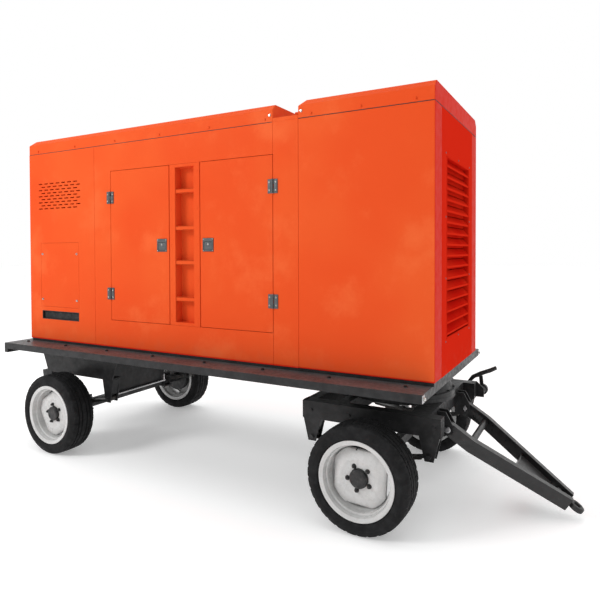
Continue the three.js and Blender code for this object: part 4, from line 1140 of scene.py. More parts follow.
# ---- Rear end ----
def rear_end():
    """The rear wall with the control door, the emergency stop and swaged panels."""
    low, high = span("rear_end_panel")
    door_low, door_high = span("control_door")
    plate = Shape().box((REAR, REAR + WALL), (low.y, high.y), (low.z, high.z))
    button_low, button_high = span("stop_button")
    by, bz = (button_low.y + button_high.y) / 2, (button_low.z + button_high.z) / 2
    gap = SHUT_GAP
    tools = Shape().box(
        (REAR - 5, REAR + WALL + 5), (
            door_low.y - gap, door_high.y + gap,
        ), (door_low.z - gap, door_high.z + gap)
    )
    tools.rod((REAR - 5, by, bz), (REAR + WALL + 5, by, bz), 12.6, 28, 0.1)
    made = carve(plate, tools)
    made.soften(2, 2, 50)
    piece(made, "rear_wall", "chassis", "canopy_paint", ["rear_end_panel"])

    slab = Shape().box((REAR, REAR + 25), (door_low.y, door_high.y), (door_low.z, door_high.z))
    margin = 90
    window = ((door_low.y + margin, door_high.y - margin), (door_low.z + margin, door_high.z - margin))
    recess = Shape().box((REAR - 5, REAR + 8), *window)
    door = carve(slab, recess)
    door.soften(2, 3, 50)
    piece(door, "control_hatch", "panel_door", "canopy_paint", ["control_door"])
    glass = Shape().box(
        (REAR + 3, REAR + 7.6), (window[0][0] + 4, window[0][1] - 4),
        (window[1][0] + 4, window[1][1] - 4), 1,
    )
    piece(glass, "control_window", "panel_door", "window_glass")
    gasket = Shape()
    for y in (window[0][0] - 4, window[0][1] - 5):
        gasket.box((REAR - 2, REAR + 5), (y, y + 9), (window[1][0] - 4, window[1][1] + 4), 2)
    for z in (window[1][0] - 4, window[1][1] - 5):
        gasket.box((REAR - 2, REAR + 5), (window[0][0] - 4, window[0][1] + 4), (z, z + 9), 2)
    piece(gasket, "window_gasket", "panel_door", "seal_rubber")
    handle = Shape()
    hinge_y = hinge_point("control_door_hinge").y
    free_y = door_low.y if abs(door_low.y - hinge_y) > abs(door_high.y - hinge_y) else door_high.y
    inside = -1 if free_y > 0 else 1
    hy = free_y + inside * 42
    mid = (door_low.z + door_high.z) / 2
    handle.box((REAR - 3, REAR + 2), (hy - 20, hy + 20), (mid - 48, mid + 48), 1.5)
    handle.box((REAR - 9, REAR - 2), (hy - 13, hy + 13), (mid - 38, mid + 18), 3, 3)
    handle.lathe(
        [(0, 5), (8, 5), (9, 4), (9, 0), (0, 0)], stand((REAR - 3, hy, mid + 32), (-1, 0, 0)), 24,
        closed=False,
    )
    piece(handle, "hatch_latch", "panel_door", "hardware_grey")
    leaves = Shape()
    fixed = Shape()
    for level in (door_low.z + 90, door_high.z - 90):
        y0 = hinge_y
        turn = 1 if free_y < hinge_y else -1
        leaves.box((REAR - 3.4, REAR), (y0 - turn * 2, y0 - turn * 30), (level - 30, level + 30), 1)
        fixed.box((REAR - 3.4, REAR), (y0 + turn * 6, y0 + turn * 30), (level - 30, level + 30), 1)
        fixed.rod(
            (REAR - 1.6, y0 + turn * 5, level - 30), (REAR - 1.6, y0 + turn * 5, level + 30), 1.8, 18,
            0.4,
        )
        for rise in (-18, 18):
            leaves.stamp(PAN_SMALL, stand((REAR - 3.2, y0 - turn * 18, level + rise), (-1, 0, 0)))
            fixed.stamp(PAN_SMALL, stand((REAR - 3.2, y0 + turn * 18, level + rise), (-1, 0, 0)))
    piece(leaves, "hatch_leaves", "panel_door", "hardware_grey")
    piece(fixed, "hatch_hinges", "chassis", "hardware_grey")

    head = REAR - button_low.x
    button = Shape()
    profile = [
        (0, head), (12, head - 0.6), (18, head - 3), (20, head - 6.5), (19, head - 10), (14, head - 13),
        (12, head - 14), (12, -WALL + 2), (0, -WALL + 2),
    ]
    button.lathe(profile, stand((REAR, by, bz), (-1, 0, 0)), 40, closed=False)
    piece(button, "stop_mushroom", "stop_plunger", "stop_red", ["stop_button"])
    collar = Shape().lathe(
        [(13.4, 0), (34, 0), (34, 1.2), (32, 1.8), (22, 1.8), (13.4, 0.9)],
        stand((REAR, by, bz), (-1, 0, 0)),
        40,
    )
    piece(collar, "stop_collar", "chassis", "hardware_grey")
    screws = Shape()
    for side, _ in SIDES:
        for k in range(6):
            z = BASE + 70 + k * (WALL_TOP - BASE - 140) / 5
            screws.stamp(PAN, stand((REAR, side * (high.y - 26), z), (-1, 0, 0)))
    for y in (-320, -110, 110, 320):
        screws.stamp(PAN, stand((REAR, y, BASE + 40), (-1, 0, 0)))
        screws.stamp(PAN, stand((REAR, y, WALL_TOP - 40), (-1, 0, 0)))
    piece(screws, "rear_screws", "chassis", "hardware_grey")
    fold = Shape()
    for z0, z1 in ((BASE + 90, BASE + 470), (BASE + 500, BASE + 800)):
        for y0, y1 in ((-440, -20), (20, 440)):
            for a, b in (
                ((y0, y1), (z0, z0 + 10)), ((y0, y1), (z1 - 10, z1)), ((y0, y0 + 10), (z0, z1)),
                ((y1 - 10, y1), (z0, z1)),
            ):
                fold.box((REAR - 2.2, REAR + 1), a, b, 1.2)
    piece(fold, "rear_swages", "chassis", "canopy_paint")


for side, name in SIDES:
    side_wall(side, name)
    front_side_panel(name)
    step_column(side, name)
    for place in ("front", "rear"):
        service_door(place, side, name)
        hinges(place, side, name)
        paddle_lock(place, side, name)
terminal_parts()
louvre_front()
roof()
rear_end()


# ---- Wheels ----
TYRE_LOW, TYRE_HIGH = span("front_left_tyre")
TYRE_RADIUS = 308
TYRE_HALF = (TYRE_HIGH.y - TYRE_LOW.y) / 2
FLANGE = 95  # the rim's outer plane from the wheel's middle
RIM_RADIUS = 226
BEAD_RADIUS = 203
BOLT_FACE = 38  # the disc's bolt face from the wheel's middle
CAP_RADIUS = 54


def tyre_profile():
    """Half of the section's outer line, from the bead out to the tread's middle: (radius, height)."""
    return [
        (BEAD_RADIUS + 0.6, FLANGE - 14),
        (BEAD_RADIUS + 8, FLANGE - 8),
        (RIM_RADIUS + 1.5, FLANGE - 7),
        (RIM_RADIUS + 5, FLANGE - 4),
        (RIM_RADIUS + 10, FLANGE + 2),
        (RIM_RADIUS + 12, FLANGE + 3.2),
        (RIM_RADIUS + 14, FLANGE + 2.8),
        (RIM_RADIUS + 22, TYRE_HALF - 1.6),
        (RIM_RADIUS + 34, TYRE_HALF - 0.4),
        (RIM_RADIUS + 36, TYRE_HALF),
        (RIM_RADIUS + 40, TYRE_HALF - 0.6),
        (RIM_RADIUS + 52, TYRE_HALF - 3.5),
        (RIM_RADIUS + 60, TYRE_HALF - 8),
        (RIM_RADIUS + 63, TYRE_HALF - 10),
        (TYRE_RADIUS - 14, TYRE_HALF - 13),
        (TYRE_RADIUS - 7, TYRE_HALF - 17),
        (TYRE_RADIUS - 3.4, TYRE_HALF - 23),
        (TYRE_RADIUS - 2, TYRE_HALF - 32),
        (TYRE_RADIUS - 1.6, 56),
        (TYRE_RADIUS - 9, 54.5),
        (TYRE_RADIUS - 9, 47.5),
        (TYRE_RADIUS - 1.2, 46),
        (TYRE_RADIUS - 0.6, 36),
        (TYRE_RADIUS - 0.5, 26),
        (TYRE_RADIUS - 9, 24.5),
        (TYRE_RADIUS - 9, 17.5),
        (TYRE_RADIUS - 0.3, 16),
        (TYRE_RADIUS, 8),
        (TYRE_RADIUS, 0),
    ]


def tyre_form(matrix):
    """The casing with four grooves round it and cross cuts that part the ribs into blocks."""
    half = tyre_profile()
    outer = half + [(r, -h) for r, h in reversed(half[:-1])]
    bore = [
        (BEAD_RADIUS + 0.6, -FLANGE + 34),
        (RIM_RADIUS + 30, -TYRE_HALF + 14),
        (TYRE_RADIUS - 26, -TYRE_HALF + 26),
        (TYRE_RADIUS - 24, 0),
        (TYRE_RADIUS - 26, TYRE_HALF - 26),
        (RIM_RADIUS + 30, TYRE_HALF - 14),
        (BEAD_RADIUS + 0.6, FLANGE - 34),
    ]
    profile = outer + bore
    steps = 300
    bm = bmesh.new()
    rings = []
    for k in range(steps):
        a = 2 * math.pi * k / steps
        ring = []
        for i, (r, h) in enumerate(profile):
            lowered = 0
            if i < len(outer) and r > TYRE_RADIUS - 8:
                phase = (k + (5 if h > 0 else 0)) % 10
                shoulder = abs(h) > 56
                middle = abs(h) < 17
                if shoulder and phase in (0, 1):
                    lowered = 3.5
                elif not shoulder and not middle and (k + int(h / 12)) % 10 == 4:
                    lowered = 3.5
                elif middle and k % 15 == 7:
                    lowered = 3
            if i < len(outer) and RIM_RADIUS + 50 < r < TYRE_RADIUS - 12 and k % 5 == 0:
                lowered = -0.8
            ring.append(bm.verts.new(((r - lowered) * math.cos(a), (r - lowered) * math.sin(a), h)))
        rings.append(ring)
    join_round(bm, rings)
    bmesh.ops.recalc_face_normals(bm, faces=bm.faces)
    return Shape().merge(bm, matrix)


def rim_form(matrix):
    """The rolled barrel: two curled flanges, bead seats and a drop well."""
    outside = [
        (BEAD_RADIUS - 2, FLANGE - 5.5),
        (BEAD_RADIUS + 6, FLANGE - 3.5),
        (RIM_RADIUS - 10, FLANGE - 1.2),
        (RIM_RADIUS - 4, FLANGE),
        (RIM_RADIUS - 0.6, FLANGE - 1.6),
        (RIM_RADIUS, FLANGE - 4.5),
        (RIM_RADIUS - 1.2, FLANGE - 7),
        (RIM_RADIUS - 4, FLANGE - 6.6),
        (BEAD_RADIUS + 7, FLANGE - 8.5),
        (BEAD_RADIUS, FLANGE - 12),
        (BEAD_RADIUS - 0.5, 38),
        (BEAD_RADIUS - 5, 32),
        (183, 16),
        (180, 10),
    ]
    inside = [
        (180, -38),
        (184, -44),
        (BEAD_RADIUS - 4, -56),
        (BEAD_RADIUS - 0.5, -62),
        (BEAD_RADIUS, -FLANGE + 12),
        (BEAD_RADIUS + 7, -FLANGE + 8.5),
        (RIM_RADIUS - 4, -FLANGE + 6.6),
        (RIM_RADIUS - 1.2, -FLANGE + 7),
        (RIM_RADIUS, -FLANGE + 4.5),
        (RIM_RADIUS - 0.6, -FLANGE + 1.6),
        (RIM_RADIUS - 4, -FLANGE),
        (BEAD_RADIUS + 6, -FLANGE + 3.5),
        (BEAD_RADIUS - 3, -FLANGE + 5.5),
        (BEAD_RADIUS - 6, -FLANGE + 14),
        (BEAD_RADIUS - 6, -60),
        (178, -40),
        (175, -34),
        (175, 8),
        (179, 15),
        (BEAD_RADIUS - 17, 28),
        (BEAD_RADIUS - 17, 52),
        (BEAD_RADIUS - 15, 56),
        (BEAD_RADIUS - 8.5, 59),
        (BEAD_RADIUS - 7, 62),
        (BEAD_RADIUS - 6.5, FLANGE - 20),
        (BEAD_RADIUS - 3.5, FLANGE - 15),
    ]
    return Shape().lathe(outside + inside, matrix, 120)


def disc_edge(angle):
    """The pressed disc's edge: round, cut back by four flats that leave slots beside the barrel."""
    turned = (angle + math.pi / 4) % (math.pi / 2) - math.pi / 4
    return min(176.5, 156 / math.cos(turned))


def disc_form(matrix):
    """The wheel's disc: bolt face, raised ring and a bowl down to its turned-in edge."""
    steps = 144
    thick = 5
    rows = [
        (CAP_RADIUS + 1.5, BOLT_FACE - 1),
        (CAP_RADIUS + 4, BOLT_FACE),
        (92, BOLT_FACE),
        (99, BOLT_FACE + 1),
        (108, BOLT_FACE + 4.6),
        (117, BOLT_FACE + 5),
        (124, BOLT_FACE + 3.6),
    ]
    bm = bmesh.new()
    rings = []
    for k in range(steps):
        a = 2 * math.pi * k / steps
        edge = disc_edge(a)
        face = [(r, h) for r, h in rows]
        face += [
            (124 + (edge - 124) * 0.3, BOLT_FACE + 1.5),
            (124 + (edge - 124) * 0.62, BOLT_FACE - 2),
            (edge - 5, BOLT_FACE - 7),
            (edge - 1, BOLT_FACE - 11),
            (edge, BOLT_FACE - 30),
        ]
        back = [(r - thick * 0.8, h - thick) if i > 6 else (r, h - thick) for i, (r, h) in enumerate(face)]
        back[-1] = (edge - thick, BOLT_FACE - 30)
        loop = face + list(reversed(back))
        rings.append([bm.verts.new((r * math.cos(a), r * math.sin(a), h)) for r, h in loop])
    join_round(bm, rings)
    bmesh.ops.recalc_face_normals(bm, faces=bm.faces)
    return Shape().merge(bm, matrix)


def wheel(end, side, name):
    """One road wheel: tyre, steel wheel, valve, nuts, hub and cap."""
    centre = middle_of(f"{end}_{name}_tyre")
    body = f"{end}_{name}_wheel_set"
    disc_turn, nut_turn = (math.radians(a) for a in ((-3, 43) if end == "front" else (31, 31)))
    matrix = stand(centre, (0, side, 0))
    tag = f"{end}_{name}"
    piece(tyre_form(matrix), f"{tag}_tyre_tread", body, "tyre", [f"{tag}_tyre"], smooth=24)
    steel = rim_form(matrix)
    steel.merge(disc_form(matrix @ Matrix.Rotation(disc_turn, 4, "Z")).bm)
    piece(steel, f"{tag}_steel_wheel", body, "wheel_paint", [f"{tag}_wheel"])
    nuts = Shape()
    nut = Shape().prism(
        [(11 * math.cos(math.pi * k / 3), 11 * math.sin(math.pi * k / 3)) for k in range(6)], "Z", 3,
        14, 1.2,
    )
    nut.lathe([(0, 0), (14, 0), (14, 2), (11, 5), (0, 5)], None, 24, closed=False)
    nut.rod((0, 0, 12), (0, 0, 20), 6, 16, 1)
    for k in range(5):
        a = 2 * math.pi * k / 5 + nut_turn
        nuts.stamp(nut, matrix @ Matrix.Translation((70 * math.cos(a), 70 * math.sin(a), BOLT_FACE)))
    piece(nuts, f"{tag}_wheel_nuts", body, "dark_casting")
    valve = Shape()
    root = matrix @ Vector((0, 184, 40))
    tip = matrix @ Vector((0, 172, 78))
    valve.rod(root, root.lerp(tip, 0.55), 5.2, 14, 1)
    valve.rod(root.lerp(tip, 0.5), tip, 3.6, 14, 0.6)
    piece(valve, f"{tag}_valve", body, "seal_rubber")
    hub = Shape()
    hub.lathe(
        [
            (
                24.4, -60,
            ), (128, -60), (130, -57), (130, -14), (127, -11), (118, -10), (114, -4), (104, 0), (92, 26),
            (90, BOLT_FACE - 6), (
                CAP_RADIUS - 6, BOLT_FACE - 5.4,
            ), (CAP_RADIUS - 1, BOLT_FACE - 5), (CAP_RADIUS, BOLT_FACE - 3),
            (CAP_RADIUS, BOLT_FACE + 15), (
                CAP_RADIUS - 2.5, BOLT_FACE + 18.5,
            ), (CAP_RADIUS - 8, BOLT_FACE + 21),
            (
                CAP_RADIUS - 14, BOLT_FACE + 21.8,
            ), (CAP_RADIUS - 20, BOLT_FACE + 20), (0, BOLT_FACE + 20), (0, 34), (24.4, 34),
        ],
        matrix,
        72,
        closed=True,
    )
    for k in range(6):
        a = math.pi * (2 * k + 1) / 6
        hub.stamp(
            bolt(8, 2.4),
            matrix @ Matrix.Translation((41 * math.cos(a), 41 * math.sin(a), BOLT_FACE + 20.4)),
        )
    for k in range(12):
        a = 2 * math.pi * k / 12
        fin = matrix @ Matrix.Rotation(a, 4, "Z")
        hub.box((114, 129.5), (-3, 3), (-10, -1), 1, 1, turn=fin)
    piece(hub, f"{tag}_hub_drum", body, "dark_casting", [f"{tag}_hub"])


# ---- Axles and springs ----
SPRING_HALF = 30
AXLE_BOTTOM = 278


def spring(end, name):
    """Five graded leaves with rolled eyes, clips and two U-bolts round the axle."""
    body = "bogie" if end == "front" else "chassis"
    axle_x = middle_of(f"{end}_axle").x
    y = middle_of(f"{end}_spring_{name}").y
    aft, fore = 423, 327
    seat, rise, tip = 338.4, 56, 10

    def top_line(x):
        share = (axle_x - x) / aft if x < axle_x else (x - axle_x) / fore
        bottom = seat + rise * share**2
        return bottom + 40 + (tip - 40) * share

    made = Shape()
    leaf_thick = 7.6
    reaches = (1.0, 0.86, 0.66, 0.47, 0.3)
    for i, reach in enumerate(reaches):
        line = []
        for k in range(29):
            x = axle_x - aft * reach + (aft + fore) * reach * k / 28
            line.append((x, y, top_line(x) - 4.2 - 8 * i))
        made.ribbon(line, (0, 1, 0), 2 * SPRING_HALF - 1, leaf_thick, 1.4)
    eye_z = 404
    for x in (axle_x - aft, axle_x + fore):
        made.lathe(
            [
                (13, -SPRING_HALF + 0.5), (21.5, -SPRING_HALF + 0.5), (22, -SPRING_HALF + 1.5),
                (22, SPRING_HALF - 1.5), (21.5, SPRING_HALF - 0.5), (13, SPRING_HALF - 0.5),
            ],
            Matrix.Translation((x, y, eye_z)) @ facing("Y"),
            36,
        )
    piece(made, f"{end}_leaf_pack_{name}", body, "spring_steel", [f"{end}_spring_{name}"])
    fittings = Shape()
    for x in (axle_x - aft, axle_x + fore):
        fittings.rod((x, y - 44, eye_z), (x, y + 44, eye_z), 10, 20, 1)
        for turn in (-1, 1):
            fittings.stamp(HEX_16, stand((x, y + turn * 39, eye_z), (0, turn, 0)))
    for x in (axle_x - 150, axle_x + 120):
        z = top_line(x)
        for dy in (-SPRING_HALF - 2.5, SPRING_HALF + 0.5):
            fittings.box((x - 14, x + 14), (y + dy, y + dy + 2), (z - 34, z + 5), 0.6)
        fittings.box((x - 14, x + 14), (y - SPRING_HALF - 2.5, y + SPRING_HALF + 2.5), (z + 2, z + 5), 0.6)
    low_z = AXLE_BOTTOM
    for dx in (-46, 46):
        for dy in (-SPRING_HALF - 7, SPRING_HALF + 7):
            fittings.rod((axle_x + dx, y + dy, low_z - 26), (axle_x + dx, y + dy, 392), 5.5, 14, 0.8)
            fittings.stamp(HEX_12, stand((axle_x + dx, y + dy, low_z - 12), (0, 0, -1)))
        fittings.rod(
            (axle_x + dx, y - SPRING_HALF - 12, 388), (axle_x + dx, y + SPRING_HALF + 12, 388), 5.5, 14,
            4,
        )
    fittings.box((axle_x - 62, axle_x + 62), (y - 48, y + 48), (low_z - 12, low_z - 1), 2)
    fittings.box((axle_x - 58, axle_x + 58), (y - 29, y + 29), (378.6, 386), 2)
    piece(fittings, f"{end}_spring_fittings_{name}", body, "dark_casting")


def axle(end):
    """An axle beam with a collar at each end."""
    body = "bogie" if end == "front" else "chassis"
    node = f"{end}_axle"
    x = middle_of(node).x
    made = from_cad(node)
    made.soften(4, 3, flatten=True)
    stub_face = 626  # the beam's end from the centre plane
    for side, _ in SIDES:
        made.lathe(
            [(0, 0), (44, 0), (46, 3), (46, 9), (43, 13), (0, 13)],
            stand((x, side * stub_face, TYRE_RADIUS), (0, side, 0)),
            32,
            closed=False,
        )
    piece(made, f"{end}_axle_beam", body, "dark_casting", [node])


# ---- Turntable ----
def turntable():
    """The slewing race and the bolted drum above it."""
    low, high = span("slewing_ring")
    x = (low.x + high.x) / 2
    z0 = low.z
    centre = Matrix.Translation((x, 0, 0))
    ring = Shape()
    ring.lathe(
        [(270, z0), (349, z0), (350, z0 + 1), (350, z0 + 21), (347, z0 + 25), (275, z0 + 25), (270, z0 + 22)],
        centre,
        96,
    )
    ring.box((x - 278, x + 278), (-40, 40), (z0, z0 + 25), 2)
    ring.rod((x, 0, z0), (x, 0, high.z), 35, 40, 2)
    nut_z = z0 + 25
    ring.lathe([(35.4, nut_z), (52, nut_z), (52, nut_z + 8), (35.4, nut_z + 8)], centre, 36)
    piece(ring, "turntable_race", "bogie", "dark_casting", ["slewing_ring"])
    low, high = span("turntable_bolster")
    z0, z1 = low.z, high.z
    drum = Shape().lathe(
        [
            (37.4, z0), (349, z0), (350, z0 + 1), (350, z0 + 24), (346, z0 + 27), (334, z0 + 30),
            (300, z1 - 10), (292, z1), (37.4, z1),
        ],
        centre,
        96,
    )
    for k in range(16):
        a = 2 * math.pi * (k + 0.5) / 16
        drum.stamp(
            bolt(16, 7, 11),
            Matrix.Translation((x + 338 * math.cos(a), 338 * math.sin(a), z0 + 27)),
        )
    for k in range(8):
        gusset = [(z0 + 26, 300), (z0 + 26, 330), (z1 - 0.5, 300)]
        drum.prism(
            gusset, "Y", -4, 4, 0.8, 1,
            turn=centre @ Matrix.Rotation(2 * math.pi * k / 8 + 0.2, 4, "Z"),
        )
    piece(drum, "turntable_drum", "chassis", "chassis_paint", ["turntable_bolster"])


# ---- Deck, subframes and bogie ----
def weld(points, radius=3.2):
    """A fillet of weld beads along a line."""
    made = Shape()
    for a, b in zip(points, points[1:]):
        a, b = Vector(a), Vector(b)
        count = max(2, int((b - a).length / 6))
        for k in range(count):
            p = a.lerp(b, (k + 0.5) / count)
            bead = bmesh.new()
            bmesh.ops.create_icosphere(bead, subdivisions=1, radius=radius)
            made.merge(bead, Matrix.Translation(p))
    return made


def deck():
    """The deck with its fixings and end plates, and the skid on it."""
    made = from_cad("deck_frame")
    made.soften(1.8, 2, flatten=True)
    piece(made, "deck_plate", "chassis", "chassis_paint", ["deck_frame"])
    extras = Shape()
    out = DECK_HIGH.y
    top, bottom = DECK_HIGH.z, DECK_HIGH.z - 50
    for side, _ in SIDES:
        for k in range(8):
            x = DECK_LOW.x + 130 + k * (DECK_HIGH.x - DECK_LOW.x - 260) / 7
            extras.stamp(HEX_12, Matrix.Translation((x, side * (HALF + 70), top)))
    piece(extras, "deck_fixings", "chassis", "dark_casting")
    ends = Shape()
    for side, _ in SIDES:
        y = side * (out - 20)
        ends.box((DECK_HIGH.x - 0.5, DECK_HIGH.x + 3.5), (y - 19, y + 19), (bottom + 4, top - 4), 1)
        ends.box((DECK_LOW.x - 3.5, DECK_LOW.x + 0.5), (y - 18, y + 18), (DECK_HIGH.z - 74, top - 6), 1)
    piece(ends, "deck_end_plates", "chassis", "bare_steel")
    heads = Shape()
    for side, _ in SIDES:
        heads.stamp(HEX_12, stand((DECK_LOW.x - 3.5, side * (out - 20), DECK_HIGH.z - 32), (-1, 0, 0)))
        heads.stamp(HEX_12, stand((DECK_HIGH.x + 3.5, side * (out - 20), DECK_HIGH.z - 25), (1, 0, 0)))
    piece(heads, "deck_end_bolts", "chassis", "bolt_zinc")
    skid = from_cad("base_skid")
    skid.soften(2, 2, flatten=True)
    piece(skid, "skid_rails", "chassis", "chassis_paint", ["base_skid"])


def subframes():
    """The rear riser, the brake shaft and the steering bogie, with bolts and welds."""
    rear = from_cad("rear_subframe")
    rear.soften(1.5, 2, flatten=True)
    axle_x = middle_of("rear_axle").x
    outer = 522
    for side, _ in SIDES:
        for dx in (-330, -180, 180, 330):
            rear.stamp(HEX_16, stand((axle_x + dx, side * outer, 735), (0, side, 0)))
        rear.stamp(
            weld([(axle_x - 455, side * (outer + 2), 771), (axle_x + 455, side * (outer + 2), 771)]),
            Matrix.Identity(4),
        )
    piece(rear, "rear_riser", "chassis", "chassis_paint", ["rear_subframe"])
    shaft = from_cad("brake_cross_shaft")
    shaft.soften(1, 2, flatten=True)
    piece(shaft, "brake_shaft", "chassis", "bare_steel", ["brake_cross_shaft"])
    bogie = from_cad("bogie_frame")
    bogie.soften(1.8, 2, flatten=True)
    rail_out = 512
    nose = FRONT + 18
    for side, _ in SIDES:
        for dx in (-40, -300, -560, -820):
            bogie.stamp(bolt(16, 7, 11), stand((nose + dx, side * rail_out, 573), (0, side, 0)))
        bogie.stamp(weld([(nose - 880, side * 430, 629), (nose - 880, side * 500, 629)]), Matrix.Identity(4))
        for x in (FRONT - 60, FRONT - 130):
            bogie.stamp(weld([(x, side * 429, 530), (x, side * 429, 622)]), Matrix.Identity(4))
    piece(bogie, "bogie_chassis", "bogie", "chassis_paint", ["bogie_frame"])


# ---- Drawbar ----
PIVOT = hinge_point("drawbar_pitch")
BAR_LENGTH = 852
EYE_RADIUS = 45
EYE_REST_Z = 73.78  # the eye's middle as it lies on the ground
PIVOT_OUT = 250  # each pivot from the centre plane
PITCH = math.asin((PIVOT.z - EYE_REST_Z) / (BAR_LENGTH - EYE_RADIUS))
BAR = Matrix.Translation(PIVOT) @ Matrix.Rotation(PITCH, 4, "Y")


def drawbar():
    """The towing frame, its eye and its pivot pins."""
    made = from_cad("drawbar")
    made.soften(2.5, 3, flatten=True)
    half, kink, tip, tip_offset = PIVOT_OUT, 150, 767, 42

    def reach(x):
        return half + (tip_offset - half) * (x - kink) / (tip - kink)

    extras = Shape()
    for side in (RIGHT, LEFT):
        for height in (-6, 6):
            extras.stamp(
                weld([(430, side * (reach(430) - 22), height), (640, side * (reach(640) - 22), height)]),
                BAR,
            )
        for z in (-1, 1):
            extras.stamp(
                weld([(kink - 20, side * (half - 27), z * 14), (kink + 20, side * (half - 27), z * 14)]),
                BAR,
            )
    made.merge(extras.bm)
    made.box((425, 434), (-reach(430) + 10, reach(430) - 10), (-16, 16), 2, 2, turn=BAR)
    piece(made, "drawbar_frame", "tow_bar", "drawbar_paint", ["drawbar"])
    eye = Shape()
    centre = BAR_LENGTH - EYE_RADIUS
    eye.lathe(
        [
            (20, -12), (24, -15), (40, -15), (44, -12), (EYE_RADIUS, -8), (EYE_RADIUS, 8), (44, 12),
            (40, 15), (24, 15), (20, 12),
        ],
        BAR @ Matrix.Translation((centre, 0, 0)),
        56,
    )
    eye.box((centre - 150, centre - 34), (-20, 20), (-14.5, 14.5), 3, 3, turn=BAR)
    for x in (centre - 120, centre - 80):
        eye.stamp(HEX_16, BAR @ Matrix.Translation((x, 0, 14.5)))
    piece(eye, "towing_eye", "tow_bar", "dark_casting", ["tow_eye"])
    for side, name in SIDES:
        pin = Shape()
        y0, y1 = side * (PIVOT_OUT - 44), side * (PIVOT_OUT + 44)
        pin.rod(BAR @ Vector((0, y0, 0)), BAR @ Vector((0, y1, 0)), 12, 32, 1.5)
        head = stand(BAR @ Vector((0, side * (PIVOT_OUT + 37), 0)), (0, side, 0))
        pin.lathe([(12, 0), (19, 0), (20, 1), (20, 6), (18, 7), (12, 7)], head, 36)
        ring_at = Vector(BAR @ Vector((0, side * (PIVOT_OUT - 41), 0)))
        pin.rod(ring_at + Vector((0, 0, -19)), ring_at + Vector((0, 0, 19)), 2.2, 10, 0.5)
        piece(pin, f"pivot_pin_{name}", "tow_bar", "bare_steel", [f"drawbar_pin_{name}"])


def brake_lever():
    """The parking-brake lever: a curved hand grip on an arm with a ratchet boss."""
    high = span("parking_brake_lever")[1]
    pivot = hinge_point("parking_brake")
    made = from_cad("parking_brake_lever")
    made.soften(2.5, 3, flatten=True)
    piece(made, "brake_handle", "brake_lever", "dark_casting", ["parking_brake_lever"])
    grip = Shape()
    mid_y = high.y - 15
    line = [
        (pivot.x + u, mid_y, pivot.z + v)
        for u, v in ((-40, 96), (0, 118), (45, 141), (82, 160), (97, 168))
    ]
    grip.tube(line, 13.5, 20)
    piece(grip, "brake_grip", "brake_lever", "seal_rubber")
    cap = Shape()
    cap.rod((pivot.x, 674, pivot.z), (pivot.x, 681, pivot.z), 24, 32, 2)
    cap.stamp(HEX_16, stand((pivot.x, 680, pivot.z), (0, 1, 0)))
    cap.lathe([(25, 0), (30, 0), (30, 3), (25, 3)], stand((pivot.x, 600, pivot.z), (0, 1, 0)), 32)
    piece(cap, "brake_pivot_cap", "bogie", "bare_steel")


for end in ("front", "rear"):
    axle(end)
    for side, name in SIDES:
        wheel(end, side, name)
        spring(end, name)
turntable()
deck()
subframes()
drawbar()
brake_lever()


# ---- Power unit, seen through the open doors ----
CRANK_Z = middle_of("fan").z
BACKWARDS = Matrix.Rotation(math.pi, 4, "X")


def along(x, y, z):
    """A turn that points Z along +X, standing at a point."""
    return Matrix.Translation((x, y, z)) @ facing("X")


